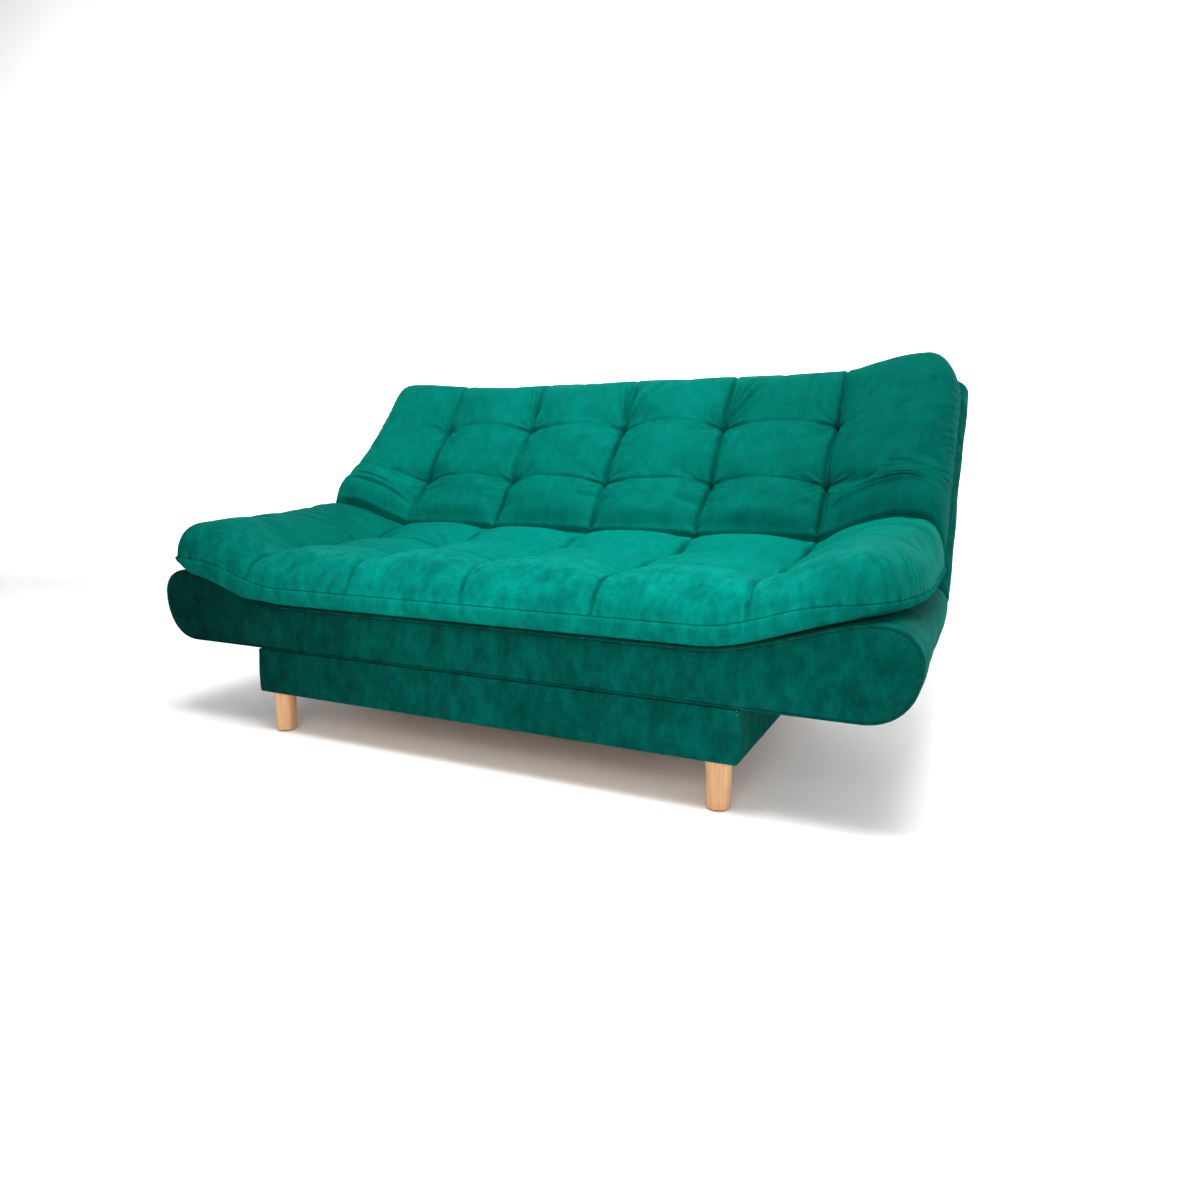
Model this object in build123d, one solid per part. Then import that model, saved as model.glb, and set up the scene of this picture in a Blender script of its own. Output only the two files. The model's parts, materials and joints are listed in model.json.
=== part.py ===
from build123d import *
import math
import os

# Sofa bed: a storage base on four legs carries a seat and a back, two near-identical upholstered
# frames with thick pads, joined by a ratchet hinge at each end.
# X runs along the sofa, Y towards the rear, Z up.  In this script the front face of the seat
# frame is the plane Y = 0; save() moves everything so that the origin is under the centre.
CENTRE_Y = 591.6

# Upholstered frames, the same section for seat and back
HALF_LENGTH = 952.0
FRAME_DEPTH = 113.0
FRAME_LENGTH = 683.0
LOBE_RISE = 73.0
LOBE_TOP_X = 872.0
DECK_X = 540.0
LOWER_CORNER_X = 845.0
WIDEST_Z = 5.0
COVER_T = 5.0
PANEL_T = 18.0
HINGE_GAP = 20.0

# Recline hinge: the deck planes of the two frames meet on its axis
PIVOT_Y = 683.0
PIVOT_Z = 330.0
BACK_LEAN = 37.7
BACK_ANGLE = 90.0 - BACK_LEAN
FOLD_START = 3.0
FOLD_SLOPE = 0.575

# Pads
PAD_HALF_LENGTH = 938.0
PAD_TOP = 150.0
PAD_END_TOP = 200.0
PAD_FRONT = 690.0
PAD_HINGE_END = 36.0
PAD_CORNER_R = 110.0
PAD_ROLL_Z = 95.0
PAD_ROLL_LENGTH = 200.0
PAD_CLEARANCE = 0.5

# Slats
SLAT_PITCH = 120.0
SLATS_PER_SIDE = 6
SLAT_W = 53.0
SLAT_T = 8.0
SLAT_BOW = 9.0
SLAT_Z = -22.0
CAP_LENGTH = 15.0
CAP_H = 20.0

# Rails inside the frames
RAIL_W = 40.0
RAIL_H = 60.0
MECHANISM_RAIL_H = 86.0
RAIL_XS = [0.0, 300.0, 580.0]
END_BOARD_X = 913.0
END_BOARD_BOTTOM = -72.0
END_BOARD_TOP = 45.0

# Recline mechanism, right-hand side; the left one mirrors it
PLATE_T = 4.0
SEAT_PLATE_X = 765.0
BACK_PLATE_X = 769.5
EYE_R = 16.0
PLATE_R = 20.0
PLATE_KNEE = (60.0, -40.0)
PLATE_TIP = (200.0, -45.0)
PLATE_BOLT_VS = [130.0, 190.0]
BOLT_R = 4.0
RECLINE_PIN_R = 6.0
RUNNING_CLEARANCE = 0.05
RATCHET_R = 48.0
TOOTH_DEPTH = 5.0
TOOTH_COUNT = 8
TOOTH_START = 181.0
TOOTH_PITCH = 7.5
PAWL_V = 85.0
PAWL_W = -45.0
PAWL_PIN_R = 4.0
SLOT_X0 = 758.0
SLOT_X1 = 798.0

# Storage base
BASE_HALF_W = 625.5
BASE_DEPTH = 802.0
BASE_BOTTOM = 106.0
BASE_TOP = 215.0
SKIN_T = 2.0
BOARD_T = 18.0
PANEL_Z = 118.0
BLOCK_BOTTOM = 122.0
BLOCK = 55.0
BLOCK_TOP = 178.0

# Legs
LEG_X = 579.0
LEG_FRONT_Y = 37.0
LEG_REAR_Y = 765.0
LEG_TOP_R = 27.0
LEG_BOTTOM_R = 24.0
GLIDE_T = 3.0
GLIDE_R = 18.0

# Storage lid hinge at the rear of the base
LIFT_Y = 814.0
LIFT_Z = 200.0
LIFT_PIN_R = 5.0
LIFT_EYE_R = 12.0
ARM_X = 590.0
ARM_T = 6.0
ARM_FRONT_Y = 340.0
ARM_BOTTOM = 186.0
ARM_TOP = 213.5
FLANGE_T = 3.0
FLANGE_W = 34.0
FLANGE_REAR_Y = 640.0
LUG_T = 5.0
LUG_GAP = 1.5

SIDES = {"left": -1, "right": 1}


# ---------------------------------------------------------------- helpers

def save(name, shape):
    """Write one sub-part, shifted so that the origin is on the floor under the centre."""
    export_step(Pos(0, -CENTRE_Y, 0) * shape, "parts/" + name + ".step")


def block(x0, x1, y0, y1, z0, z1):
    """Rectangular block between two corners."""
    box = Box(x1 - x0, y1 - y0, z1 - z0)
    return Pos((x0 + x1) / 2, (y0 + y1) / 2, (z0 + z1) / 2) * box


def rod(x0, x1, y, z, radius):
    """Round bar along X."""
    bar = Rot(0, 90, 0) * Cylinder(radius, x1 - x0)
    return Pos((x0 + x1) / 2, y, z) * bar


def post(x, y, z0, z1, radius):
    """Round bar along Z."""
    return Pos(x, y, (z0 + z1) / 2) * Cylinder(radius, z1 - z0)


def side_plate(face, x0, thickness):
    """Plate standing across X, from an outline drawn in the YZ plane at X = 0."""
    return Pos(x0, 0, 0) * extrude(face, amount=thickness, dir=(1, 0, 0))


def side_face(points):
    """Face in the YZ plane from (y, z) corners."""
    corners = [(0, y, z) for y, z in points]
    return make_face(Polyline(*corners, close=True).edges())


def disc(y, z, radius):
    """Round face in the YZ plane."""
    return Plane.YZ * Pos(y, z) * Circle(radius)


def hull_face(circles):
    """Outline of a band stretched round several (y, z, radius) circles, in the YZ plane."""
    rings = [Pos(y, z) * CenterArc((0, 0), radius, 0, 360) for y, z, radius in circles]
    return Plane.YZ * make_hull([edge for ring in rings for edge in ring.edges()])


def on_side(shape, sign):
    """Right-hand part as it is, or mirrored for the left."""
    if sign > 0:
        return shape
    return mirror(shape, about=Plane.YZ)


def both_sides(shape):
    """A right-hand part and its mirror image."""
    return shape + mirror(shape, about=Plane.YZ)


def seat_place(shape):
    """Frame coordinates (Y = 0 on the hinge, frame towards -Y, deck at Z = 0) to the seat."""
    return Pos(0, PIVOT_Y, PIVOT_Z) * shape


def back_place(shape):
    """Flat-bed coordinates of the back (Y = 0 on the hinge, back towards +Y) to the back."""
    return Pos(0, PIVOT_Y, PIVOT_Z) * Rot(BACK_ANGLE, 0, 0) * shape


# ---------------------------------------------------------------- upholstered frames

def boat_face(inset):
    """Section of a frame across its length: thin middle, a thick rounded lobe at each end."""
    end = HALF_LENGTH - inset
    floor = inset - FRAME_DEPTH
    deck = -inset
    lobe = LOBE_RISE - inset
    widest = (end, 0, WIDEST_Z)
    lobe_top = (LOBE_TOP_X, 0, lobe)
    corner = (LOWER_CORNER_X, 0, floor)
    half = [
        Line((0, 0, floor), corner),
        Bezier(corner, (end - 47, 0, floor), (end - 2, 0, -75 + inset), widest),
        Bezier(widest, (end, 0, 40), (end - 27, 0, lobe), lobe_top),
        Bezier(lobe_top, (LOBE_TOP_X - 80, 0, lobe), (DECK_X + 112, 0, deck), (DECK_X, 0, deck)),
        Line((DECK_X, 0, deck), (0, 0, deck)),
    ]
    mirrored = [mirror(edge, about=Plane.YZ) for edge in half]
    return make_face([edge for curve in half + mirrored for edge in curve.edges()])


def fold_wedge(margin):
    """Space above the deck that the other frame turns into when the back comes forward."""
    corner_w = (HINGE_GAP - FOLD_START) / FOLD_SLOPE
    far_w = 260.0
    far_v = FOLD_START + FOLD_SLOPE * far_w
    profile = side_face([
        (100, corner_w),
        (-HINGE_GAP - margin, corner_w),
        (-far_v - margin, far_w),
        (100, far_w),
    ])
    return side_plate(profile, -1000, 2000)


def frame_block(inset, v0, v1):
    """Boat section run from v0 to v1 in front of the hinge, clear of the fold."""
    prism = Pos(0, -v0, 0) * extrude(boat_face(inset), amount=v1 - v0, dir=(0, -1, 0))
    return prism - fold_wedge(inset * 1.2)


def mechanism_slots(v0, v1):
    """Slots that the recline plates pass through, one at each end."""
    return both_sides(block(SLOT_X0, SLOT_X1, -v1, -v0, -82, 40))


def frame_cover():
    """Padded fabric skin of a frame, open over the slats and under the frame."""
    outer = frame_block(0, HINGE_GAP, FRAME_LENGTH)
    inner = frame_block(COVER_T, HINGE_GAP + COVER_T, FRAME_LENGTH - COVER_T)
    top_opening = block(-730, 730, -620, -70, -COVER_T - 1, 100)
    bottom_opening = block(-800, 800, -620, -60, -FRAME_DEPTH - 1, 1 - FRAME_DEPTH + COVER_T)
    return outer - inner - top_opening - bottom_opening - mechanism_slots(10, 80)


def dust_cover():
    """Thin sheet that closes the underside of a frame."""
    return block(-799.7, 799.7, -619.7, -60.3, -FRAME_DEPTH, 2 - FRAME_DEPTH)


def outer_panel():
    """Plywood panel with the full boat outline, at the end away from the hinge."""
    return frame_block(COVER_T, FRAME_LENGTH - COVER_T - PANEL_T, FRAME_LENGTH - COVER_T)


def hinge_panel():
    """Plywood panel beside the hinge, without the raised lobes, slotted for the plates."""
    v0 = HINGE_GAP + COVER_T
    panel = frame_block(COVER_T, v0, v0 + PANEL_T)
    lobes = block(-1000, 1000, -v0 - PANEL_T - 1, -v0 + 1, 25, 100)
    return panel - lobes - mechanism_slots(10, 80)


def rail(x, height):
    """Timber rail between the two panels of a frame."""
    v0 = HINGE_GAP + COVER_T + PANEL_T
    v1 = FRAME_LENGTH - COVER_T - PANEL_T
    floor = COVER_T - FRAME_DEPTH
    return block(x - RAIL_W / 2, x + RAIL_W / 2, -v1, -v0, floor, floor + height)


def cross_rails():
    """Rails that stiffen the frame from the outer panel to the hinge panel."""
    xs = [-x for x in RAIL_XS if x > 0] + RAIL_XS
    return Compound(children=[rail(x, RAIL_H) for x in xs])


def mechanism_rails(inner_x):
    """Taller rail at each end that the recline plate bolts to."""
    timber = rail(inner_x + RAIL_W / 2, MECHANISM_RAIL_H)
    for v in PLATE_BOLT_VS:
        timber = timber - rod(inner_x - 1, inner_x + RAIL_W + 1, -v, PLATE_TIP[1], BOLT_R + 0.2)
    return Compound(children=[timber, mirror(timber, about=Plane.YZ)])


def end_board():
    """Board that closes the right-hand end inside the lobe."""
    v0 = HINGE_GAP + COVER_T + PANEL_T
    v1 = FRAME_LENGTH - COVER_T - PANEL_T
    x0 = END_BOARD_X - PANEL_T / 2
    return block(x0, x0 + PANEL_T, -v1, -v0, END_BOARD_BOTTOM, END_BOARD_TOP)


def slat_centres():
    """X positions of the slats."""
    half = [SLAT_PITCH * (0.5 + index) for index in range(SLATS_PER_SIDE)]
    return [-x for x in reversed(half)] + half


def slat_ends():
    """Where a slat starts and stops, measured from the hinge."""
    v0 = HINGE_GAP + COVER_T + PANEL_T + 2
    v1 = FRAME_LENGTH - COVER_T - PANEL_T - 2
    return v0, v1


def slats():
    """Sprung slats, bowed upwards."""
    v0, v1 = slat_ends()
    middle = (v0 + v1) / 2
    low = ThreePointArc((0, -v1, SLAT_Z), (0, -middle, SLAT_Z + SLAT_BOW), (0, -v0, SLAT_Z))
    high_z = SLAT_Z + SLAT_T
    high = ThreePointArc((0, -v1, high_z), (0, -middle, high_z + SLAT_BOW), (0, -v0, high_z))
    front = Line((0, -v1, SLAT_Z), (0, -v1, high_z))
    rear = Line((0, -v0, SLAT_Z), (0, -v0, high_z))
    profile = make_face([low.edge(), high.edge(), front.edge(), rear.edge()])
    return Compound(children=[side_plate(profile, x - SLAT_W / 2, SLAT_W) for x in slat_centres()])


def slat_caps():
    """Plastic pockets on the two panels that hold the slat ends."""
    v0, v1 = slat_ends()
    caps = []
    for x in slat_centres():
        x0 = x - SLAT_W / 2
        x1 = x + SLAT_W / 2
        for start, stop in ((v0 - 2, v0 - 2 + CAP_LENGTH), (v1 + 2 - CAP_LENGTH, v1 + 2)):
            body = block(x0 - 4, x1 + 4, -stop, -start, SLAT_Z - 6, SLAT_Z - 6 + CAP_H)
            pocket_v0 = max(start, v0 - 0.2)
            pocket_v1 = min(stop, v1 + 0.2)
            pocket = block(x0 - 0.2, x1 + 0.2, -pocket_v1, -pocket_v0, SLAT_Z - 0.2, SLAT_Z + 9.8)
            caps.append(body - pocket)
    return Compound(children=caps)


# ---------------------------------------------------------------- pads

def pad_section():
    """Section of a pad along the sofa: it fills the boat section and its ends rise."""
    low = PAD_CLEARANCE
    lobe = LOBE_RISE + PAD_CLEARANCE
    end = PAD_HALF_LENGTH
    half = [
        Line((0, 0, low), (DECK_X, 0, low)),
        Bezier((DECK_X, 0, low), (DECK_X + 112, 0, low), (LOBE_TOP_X - 80, 0, lobe), (LOBE_TOP_X, 0, lobe)),
        Bezier((LOBE_TOP_X, 0, lobe), (end - 30, 0, lobe), (end, 0, lobe + 15), (end, 0, 125)),
        Bezier((end, 0, 125), (end, 0, 175), (end - 20, 0, PAD_END_TOP), (LOBE_TOP_X, 0, PAD_END_TOP)),
        Bezier((LOBE_TOP_X, 0, PAD_END_TOP), (800, 0, PAD_END_TOP), (760, 0, PAD_TOP), (640, 0, PAD_TOP)),
        Line((640, 0, PAD_TOP), (0, 0, PAD_TOP)),
    ]
    mirrored = [mirror(edge, about=Plane.YZ) for edge in half]
    return make_face([edge for curve in half + mirrored for edge in curve.edges()])


def pad_side_face():
    """Side view of a pad: chamfered at the fold, its front edge rolled over in a long curve."""
    chamfer_w = (PAD_HINGE_END - FOLD_START) / FOLD_SLOPE
    fold_top_v = FOLD_START + FOLD_SLOPE * PAD_END_TOP
    roundness = 0.5523
    roll = Bezier(
        (-PAD_FRONT, PAD_ROLL_Z),
        (-PAD_FRONT, PAD_ROLL_Z + roundness * (PAD_END_TOP - PAD_ROLL_Z)),
        ((1 - roundness) * PAD_ROLL_LENGTH - PAD_FRONT, PAD_END_TOP),
        (PAD_ROLL_LENGTH - PAD_FRONT, PAD_END_TOP),
    )
    straight = Polyline(
        (-PAD_FRONT, PAD_ROLL_Z),
        (-PAD_FRONT, 0),
        (-PAD_HINGE_END, 0),
        (-PAD_HINGE_END, chamfer_w),
        (-fold_top_v, PAD_END_TOP),
        (PAD_ROLL_LENGTH - PAD_FRONT, PAD_END_TOP),
    )
    return Plane.YZ * make_face(roll.edges() + straight.edges())


def pad():
    """Thick pad on a frame: its ends rise, and its outer corners are rounded in plan."""
    along = extrude(pad_section(), amount=PAD_FRONT, dir=(0, -1, 0))
    across = side_plate(pad_side_face(), -1000, 2000)
    plan = RectangleRounded(2 * PAD_HALF_LENGTH, 2 * PAD_FRONT, PAD_CORNER_R)
    return along & across & extrude(plan, amount=PAD_END_TOP + 1)


# ---------------------------------------------------------------- recline mechanism

def recline_arm(direction):
    """Outline of the arm that joins the pivot eye to its frame; direction is -1 to the front."""
    knee_v, knee_w = PLATE_KNEE
    tip_v, tip_w = PLATE_TIP
    return hull_face([
        (0, 0, EYE_R),
        (direction * knee_v, knee_w, PLATE_R),
        (direction * tip_v, tip_w, PLATE_R),
    ])


def bolt_holes(plate, direction):
    """Bolt holes along a recline plate."""
    for v in PLATE_BOLT_VS:
        plate = plate - rod(700, 850, direction * v, PLATE_TIP[1], BOLT_R + 0.2)
    return plate


def seat_plate():
    """Steel plate on the seat frame that carries the recline pin and the pawl pin."""
    plate = side_plate(recline_arm(-1), SEAT_PLATE_X, PLATE_T)
    plate = plate - rod(700, 850, 0, 0, RECLINE_PIN_R + RUNNING_CLEARANCE)
    plate = plate - rod(700, 850, -PAWL_V, PAWL_W, PAWL_PIN_R + RUNNING_CLEARANCE)
    return bolt_holes(plate, -1)


def ratchet_face():
    """Toothed sector round the pivot, in the flat-bed position."""
    points = [(0, 0)]
    for index in range(TOOTH_COUNT):
        start = math.radians(TOOTH_START + index * TOOTH_PITCH)
        tip = math.radians(TOOTH_START + (index + 0.9) * TOOTH_PITCH)
        root = RATCHET_R - TOOTH_DEPTH
        points.append((root * math.cos(start), root * math.sin(start)))
        points.append((RATCHET_R * math.cos(tip), RATCHET_R * math.sin(tip)))
    return side_face(points)


def back_plate():
    """Steel plate on the back frame, with the ratchet sector round the pivot."""
    plate = side_plate(recline_arm(1), BACK_PLATE_X, PLATE_T)
    plate = plate + side_plate(ratchet_face(), BACK_PLATE_X, PLATE_T)
    plate = plate - rod(700, 850, 0, 0, RECLINE_PIN_R + RUNNING_CLEARANCE)
    return bolt_holes(plate, 1)


def recline_pin():
    """Headed pin on which the back turns."""
    back_face = BACK_PLATE_X + PLATE_T + 0.5
    pin = rod(SEAT_PLATE_X - 4, back_face + 4, 0, 0, RECLINE_PIN_R)
    pin = pin + rod(SEAT_PLATE_X - 4, SEAT_PLATE_X, 0, 0, 10)
    return pin + rod(back_face, back_face + 4, 0, 0, 10)


def pawl():
    """Catch that drops into the ratchet teeth; its nose stands just clear of them here."""
    outline = side_face([
        (-25.5, -43.5),
        (-33, -40),
        (-PAWL_V, PAWL_W + 9),
        (-PAWL_V, PAWL_W - 9),
        (-33, -54),
        (-26, -50),
    ])
    lever = side_plate(outline, BACK_PLATE_X, PLATE_T)
    hub = rod(BACK_PLATE_X, BACK_PLATE_X + PLATE_T, -PAWL_V, PAWL_W, 9)
    bore = rod(700, 850, -PAWL_V, PAWL_W, PAWL_PIN_R + RUNNING_CLEARANCE)
    return lever + hub - bore


def pawl_pin():
    """Headed pin on which the pawl turns."""
    outer = BACK_PLATE_X + PLATE_T + 12
    pin = rod(SEAT_PLATE_X, outer, -PAWL_V, PAWL_W, PAWL_PIN_R)
    return pin + rod(outer, outer + 2.5, -PAWL_V, PAWL_W, 8)


def pawl_spring():
    """Torsion coil on the pawl pin."""
    pitch = 2.2
    start = BACK_PLATE_X + PLATE_T + 2
    coil = Helix(pitch=pitch, height=4 * pitch, radius=5.6)
    wire = sweep(Plane(origin=coil @ 0, z_dir=coil % 0) * Circle(0.8), path=coil)
    return Pos(start, -PAWL_V, PAWL_W) * Rot(0, 90, 0) * wire


def plate_bolts(direction, head_x, nut_x):
    """Carriage bolts that hold a recline plate to its rail."""
    bolts = []
    for v in PLATE_BOLT_VS:
        y = direction * v
        low = min(head_x, nut_x)
        high = max(head_x, nut_x)
        bolt = rod(low, high, y, PLATE_TIP[1], BOLT_R)
        cap = rod(high, high + 4, y, PLATE_TIP[1], 8)
        nut = rod(low - 5, low, y, PLATE_TIP[1], 7)
        whole = bolt + cap + nut
        bolts.append(whole)
        bolts.append(mirror(whole, about=Plane.YZ))
    return Compound(children=bolts)


# ---------------------------------------------------------------- storage base

def base_front_board():
    half = BASE_HALF_W - SKIN_T
    return block(-half, half, SKIN_T, SKIN_T + BOARD_T, BASE_BOTTOM, BASE_TOP)


def arm_notches(y0, y1):
    """Notches that the lid arms pass through at the rear of the base."""
    return both_sides(block(ARM_X - LUG_GAP, ARM_X + ARM_T + LUG_GAP, y0, y1, ARM_BOTTOM - 4, 300))


def base_rear_board():
    half = BASE_HALF_W - SKIN_T
    rear = BASE_DEPTH - SKIN_T
    board = block(-half, half, rear - BOARD_T, rear, BASE_BOTTOM, BASE_TOP)
    return board - arm_notches(rear - BOARD_T - 1, rear + 1)


def base_side_board():
    half = BASE_HALF_W - SKIN_T
    rear = BASE_DEPTH - SKIN_T - BOARD_T
    return block(half - BOARD_T, half, SKIN_T + BOARD_T, rear, BASE_BOTTOM, BASE_TOP)


def inner_half_width():
    return BASE_HALF_W - SKIN_T - BOARD_T


def leg_bolt_bores(shape):
    """Bore one shape for the leg bolts that pass through it."""
    for x, y in leg_centres().values():
        shape = shape - post(x, y, BASE_BOTTOM - 1, BLOCK_TOP + 1, BOLT_R + 0.2)
    return shape


def base_bottom_panel():
    """Hardboard floor of the storage box, in two sheets."""
    half = inner_half_width() - 0.2
    front = SKIN_T + BOARD_T + 0.2
    rear = BASE_DEPTH - SKIN_T - BOARD_T - 0.2
    sheet = leg_bolt_bores(block(0.5, half, front, rear, PANEL_Z, BLOCK_BOTTOM))
    return Compound(children=[sheet, mirror(sheet, about=Plane.YZ)])


def corner_centres():
    """Centres of the blocks in the four inner corners."""
    x = inner_half_width() - BLOCK / 2
    front = SKIN_T + BOARD_T + BLOCK / 2
    rear = BASE_DEPTH - SKIN_T - BOARD_T - BLOCK / 2
    return [(-x, front), (x, front), (-x, rear), (x, rear)]


def corner_blocks():
    """Timber blocks that stiffen the corners and take the leg bolts."""
    reach = BLOCK / 2
    blocks = []
    for x, y in corner_centres():
        timber = block(x - reach, x + reach, y - reach, y + reach, BLOCK_BOTTOM, BLOCK_TOP)
        blocks.append(leg_bolt_bores(timber))
    return Compound(children=blocks)


def bottom_battens():
    """Battens that carry the bottom panel: front, middle and rear."""
    half = inner_half_width()
    front = SKIN_T + BOARD_T
    rear = BASE_DEPTH - SKIN_T - BOARD_T
    middle = (front + rear) / 2
    battens = []
    for y0, y1 in ((front, front + BLOCK), (middle - 20, middle + 20), (rear - BLOCK, rear)):
        battens.append(leg_bolt_bores(block(-half, half, y0, y1, BASE_BOTTOM, PANEL_Z)))
    return Compound(children=battens)


def base_cover():
    """Fabric skin round the four outer sides of the base."""
    outer = block(-BASE_HALF_W, BASE_HALF_W, 0, BASE_DEPTH, BASE_BOTTOM, BASE_TOP)
    half = BASE_HALF_W - SKIN_T
    inner = block(-half, half, SKIN_T, BASE_DEPTH - SKIN_T, BASE_BOTTOM - 1, BASE_TOP + 1)
    return outer - inner - arm_notches(BASE_DEPTH - 10, BASE_DEPTH + 10)


def leg_centres():
    """Leg name endings and their places."""
    return {
        "front_left": (-LEG_X, LEG_FRONT_Y),
        "front_right": (LEG_X, LEG_FRONT_Y),
        "rear_left": (-LEG_X, LEG_REAR_Y),
        "rear_right": (LEG_X, LEG_REAR_Y),
    }


def leg(x, y):
    """Turned wooden leg, slightly tapered, bored for its bolt."""
    height = BASE_BOTTOM - GLIDE_T
    body = Cone(LEG_BOTTOM_R, LEG_TOP_R, height)
    bore = Pos(0, 0, height / 2 - 25) * Cylinder(BOLT_R + 0.2, 52)
    foot_edge = body.edges().sort_by(Axis.Z)[0]
    body = chamfer(foot_edge, 1.5)
    return Pos(x, y, GLIDE_T + height / 2) * (body - bore)


def leg_bolts():
    """Hanger bolts from the legs through the corner blocks, each with its nut."""
    z0 = BASE_BOTTOM - 50
    bolts = []
    for x, y in leg_centres().values():
        bolt = post(x, y, z0, BLOCK_TOP + 10, BOLT_R) + post(x, y, BLOCK_TOP, BLOCK_TOP + 6, 9)
        bolts.append(bolt)
    return Compound(children=bolts)


def leg_glides():
    """Plastic glides under the legs."""
    glides = [post(x, y, 0, GLIDE_T, GLIDE_R) for x, y in leg_centres().values()]
    return Compound(children=glides)


def rest_pads():
    """Felt pads on the base that the frames rest on."""
    z1 = PIVOT_Z - FRAME_DEPTH
    spots = []
    for x in (-450, 0, 450):
        spots.append(post(x, SKIN_T + BOARD_T / 2, BASE_TOP, z1, 8))
    for y in (180, 520):
        spots.append(post(-BASE_HALF_W + SKIN_T + BOARD_T / 2, y, BASE_TOP, z1, 8))
        spots.append(post(BASE_HALF_W - SKIN_T - BOARD_T / 2, y, BASE_TOP, z1, 8))
    return Compound(children=spots)


# ---------------------------------------------------------------- lid hinge

def base_bracket():
    """Clevis on the rear of the base for one lid arm."""
    plate_x0 = ARM_X - 26
    plate_x1 = ARM_X + ARM_T + 26
    plate = block(plate_x0, plate_x1, BASE_DEPTH, BASE_DEPTH + 4, 150, LIFT_Z + LIFT_EYE_R)
    plate = plate - arm_notches(BASE_DEPTH - 1, BASE_DEPTH + 5)
    for x, z in bracket_screw_places():
        plate = plate - Pos(x, BASE_DEPTH, z) * Rot(90, 0, 0) * Cylinder(2.7, 20)
    lug_face = hull_face([(LIFT_Y, LIFT_Z, LIFT_EYE_R), (BASE_DEPTH + 4, LIFT_Z - 30, 2)])
    lug_face = lug_face + side_face([
        (BASE_DEPTH + 2, LIFT_Z + LIFT_EYE_R),
        (LIFT_Y, LIFT_Z + LIFT_EYE_R),
        (LIFT_Y, LIFT_Z),
        (BASE_DEPTH + 2, LIFT_Z - 30),
    ])
    inner_lug = side_plate(lug_face, ARM_X - LUG_GAP - LUG_T, LUG_T)
    outer_lug = side_plate(lug_face, ARM_X + ARM_T + LUG_GAP, LUG_T)
    behind = block(500, 700, BASE_DEPTH - 10, BASE_DEPTH, 100, 300)
    bore = rod(500, 700, LIFT_Y, LIFT_Z, LIFT_PIN_R + RUNNING_CLEARANCE)
    return plate + (inner_lug - behind) + (outer_lug - behind) - bore


def lift_pin():
    """Headed pin through the clevis and the lid arm."""
    x0 = ARM_X - LUG_GAP - LUG_T
    x1 = ARM_X + ARM_T + LUG_GAP + LUG_T
    pin = rod(x0, x1, LIFT_Y, LIFT_Z, LIFT_PIN_R)
    return pin + rod(x0 - 3, x0, LIFT_Y, LIFT_Z, 8) + rod(x1, x1 + 3, LIFT_Y, LIFT_Z, 8)


def bracket_screw_places():
    """X and Z of the screws of the right-hand clevis."""
    return [(x, z) for x in (ARM_X - 17, ARM_X + ARM_T + 17) for z in (162, 190)]


def bracket_screws():
    """Screws that hold the clevises to the rear board."""
    screws = []
    for x, z in bracket_screw_places():
        head = Pos(x, BASE_DEPTH + 5.25, z) * Rot(90, 0, 0) * Cylinder(5, 2.5)
        shank = Pos(x, BASE_DEPTH - 7, z) * Rot(90, 0, 0) * Cylinder(2.5, 22)
        screws.append(head + shank)
        screws.append(mirror(head + shank, about=Plane.YZ))
    return Compound(children=screws)


def lid_arm():
    """Steel arm under the seat frame that swings on the clevis pin when the seat is lifted."""
    mid_z = (ARM_BOTTOM + ARM_TOP) / 2
    reach = (ARM_TOP - ARM_BOTTOM) / 2
    bar = side_face([
        (ARM_FRONT_Y, ARM_BOTTOM),
        (LIFT_Y, LIFT_Z - LIFT_EYE_R),
        (LIFT_Y, LIFT_Z + LIFT_EYE_R),
        (ARM_FRONT_Y, ARM_TOP),
    ])
    bar = bar + disc(LIFT_Y, LIFT_Z, LIFT_EYE_R) + disc(ARM_FRONT_Y, mid_z, reach)
    arm = side_plate(bar, ARM_X, ARM_T)
    flange = block(ARM_X + ARM_T - FLANGE_W, ARM_X + ARM_T, ARM_FRONT_Y, FLANGE_REAR_Y,
                   ARM_TOP - 1, ARM_TOP + FLANGE_T - 0.5)
    bore = rod(500, 700, LIFT_Y, LIFT_Z, LIFT_PIN_R + RUNNING_CLEARANCE)
    arm = arm + flange - bore
    for x, y in arm_screw_places():
        arm = arm - post(x, y, ARM_TOP - 5, ARM_TOP + 10, 3.2)
    return arm


def arm_screw_places():
    """Screws through the flange of the right-hand lid arm."""
    return [(ARM_X + ARM_T - FLANGE_W + 14, y) for y in (370, 450, 530, 605)]


def arm_screws():
    """Screws that hold the lid arms up into the seat rails."""
    screws = []
    for x, y in arm_screw_places():
        screw = post(x, y, ARM_TOP - 1, ARM_TOP + 35, 3)
        screw = screw + post(x, y, ARM_TOP - 4, ARM_TOP - 1, 6)
        screws.append(screw)
        screws.append(mirror(screw, about=Plane.YZ))
    return Compound(children=screws)


# ---------------------------------------------------------------- write the parts

def write_frame(prefix, place, mechanism_inner_x):
    """Parts that the seat and the back have in common."""
    save(prefix + "_outer_panel", place(outer_panel()))
    save(prefix + "_hinge_panel", place(hinge_panel()))
    save(prefix + "_cross_rails", place(cross_rails()))
    save(prefix + "_mechanism_rails", place(mechanism_rails(mechanism_inner_x)))
    save(prefix + "_slats", place(slats()))
    save(prefix + "_slat_caps", place(slat_caps()))
    save(prefix + "_frame_cover", place(frame_cover()))
    save(prefix + "_dust_cover", place(dust_cover()))
    save(prefix + "_pad", place(pad()))
    for side, sign in SIDES.items():
        save(prefix + "_end_board_" + side, place(on_side(end_board(), sign)))


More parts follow.
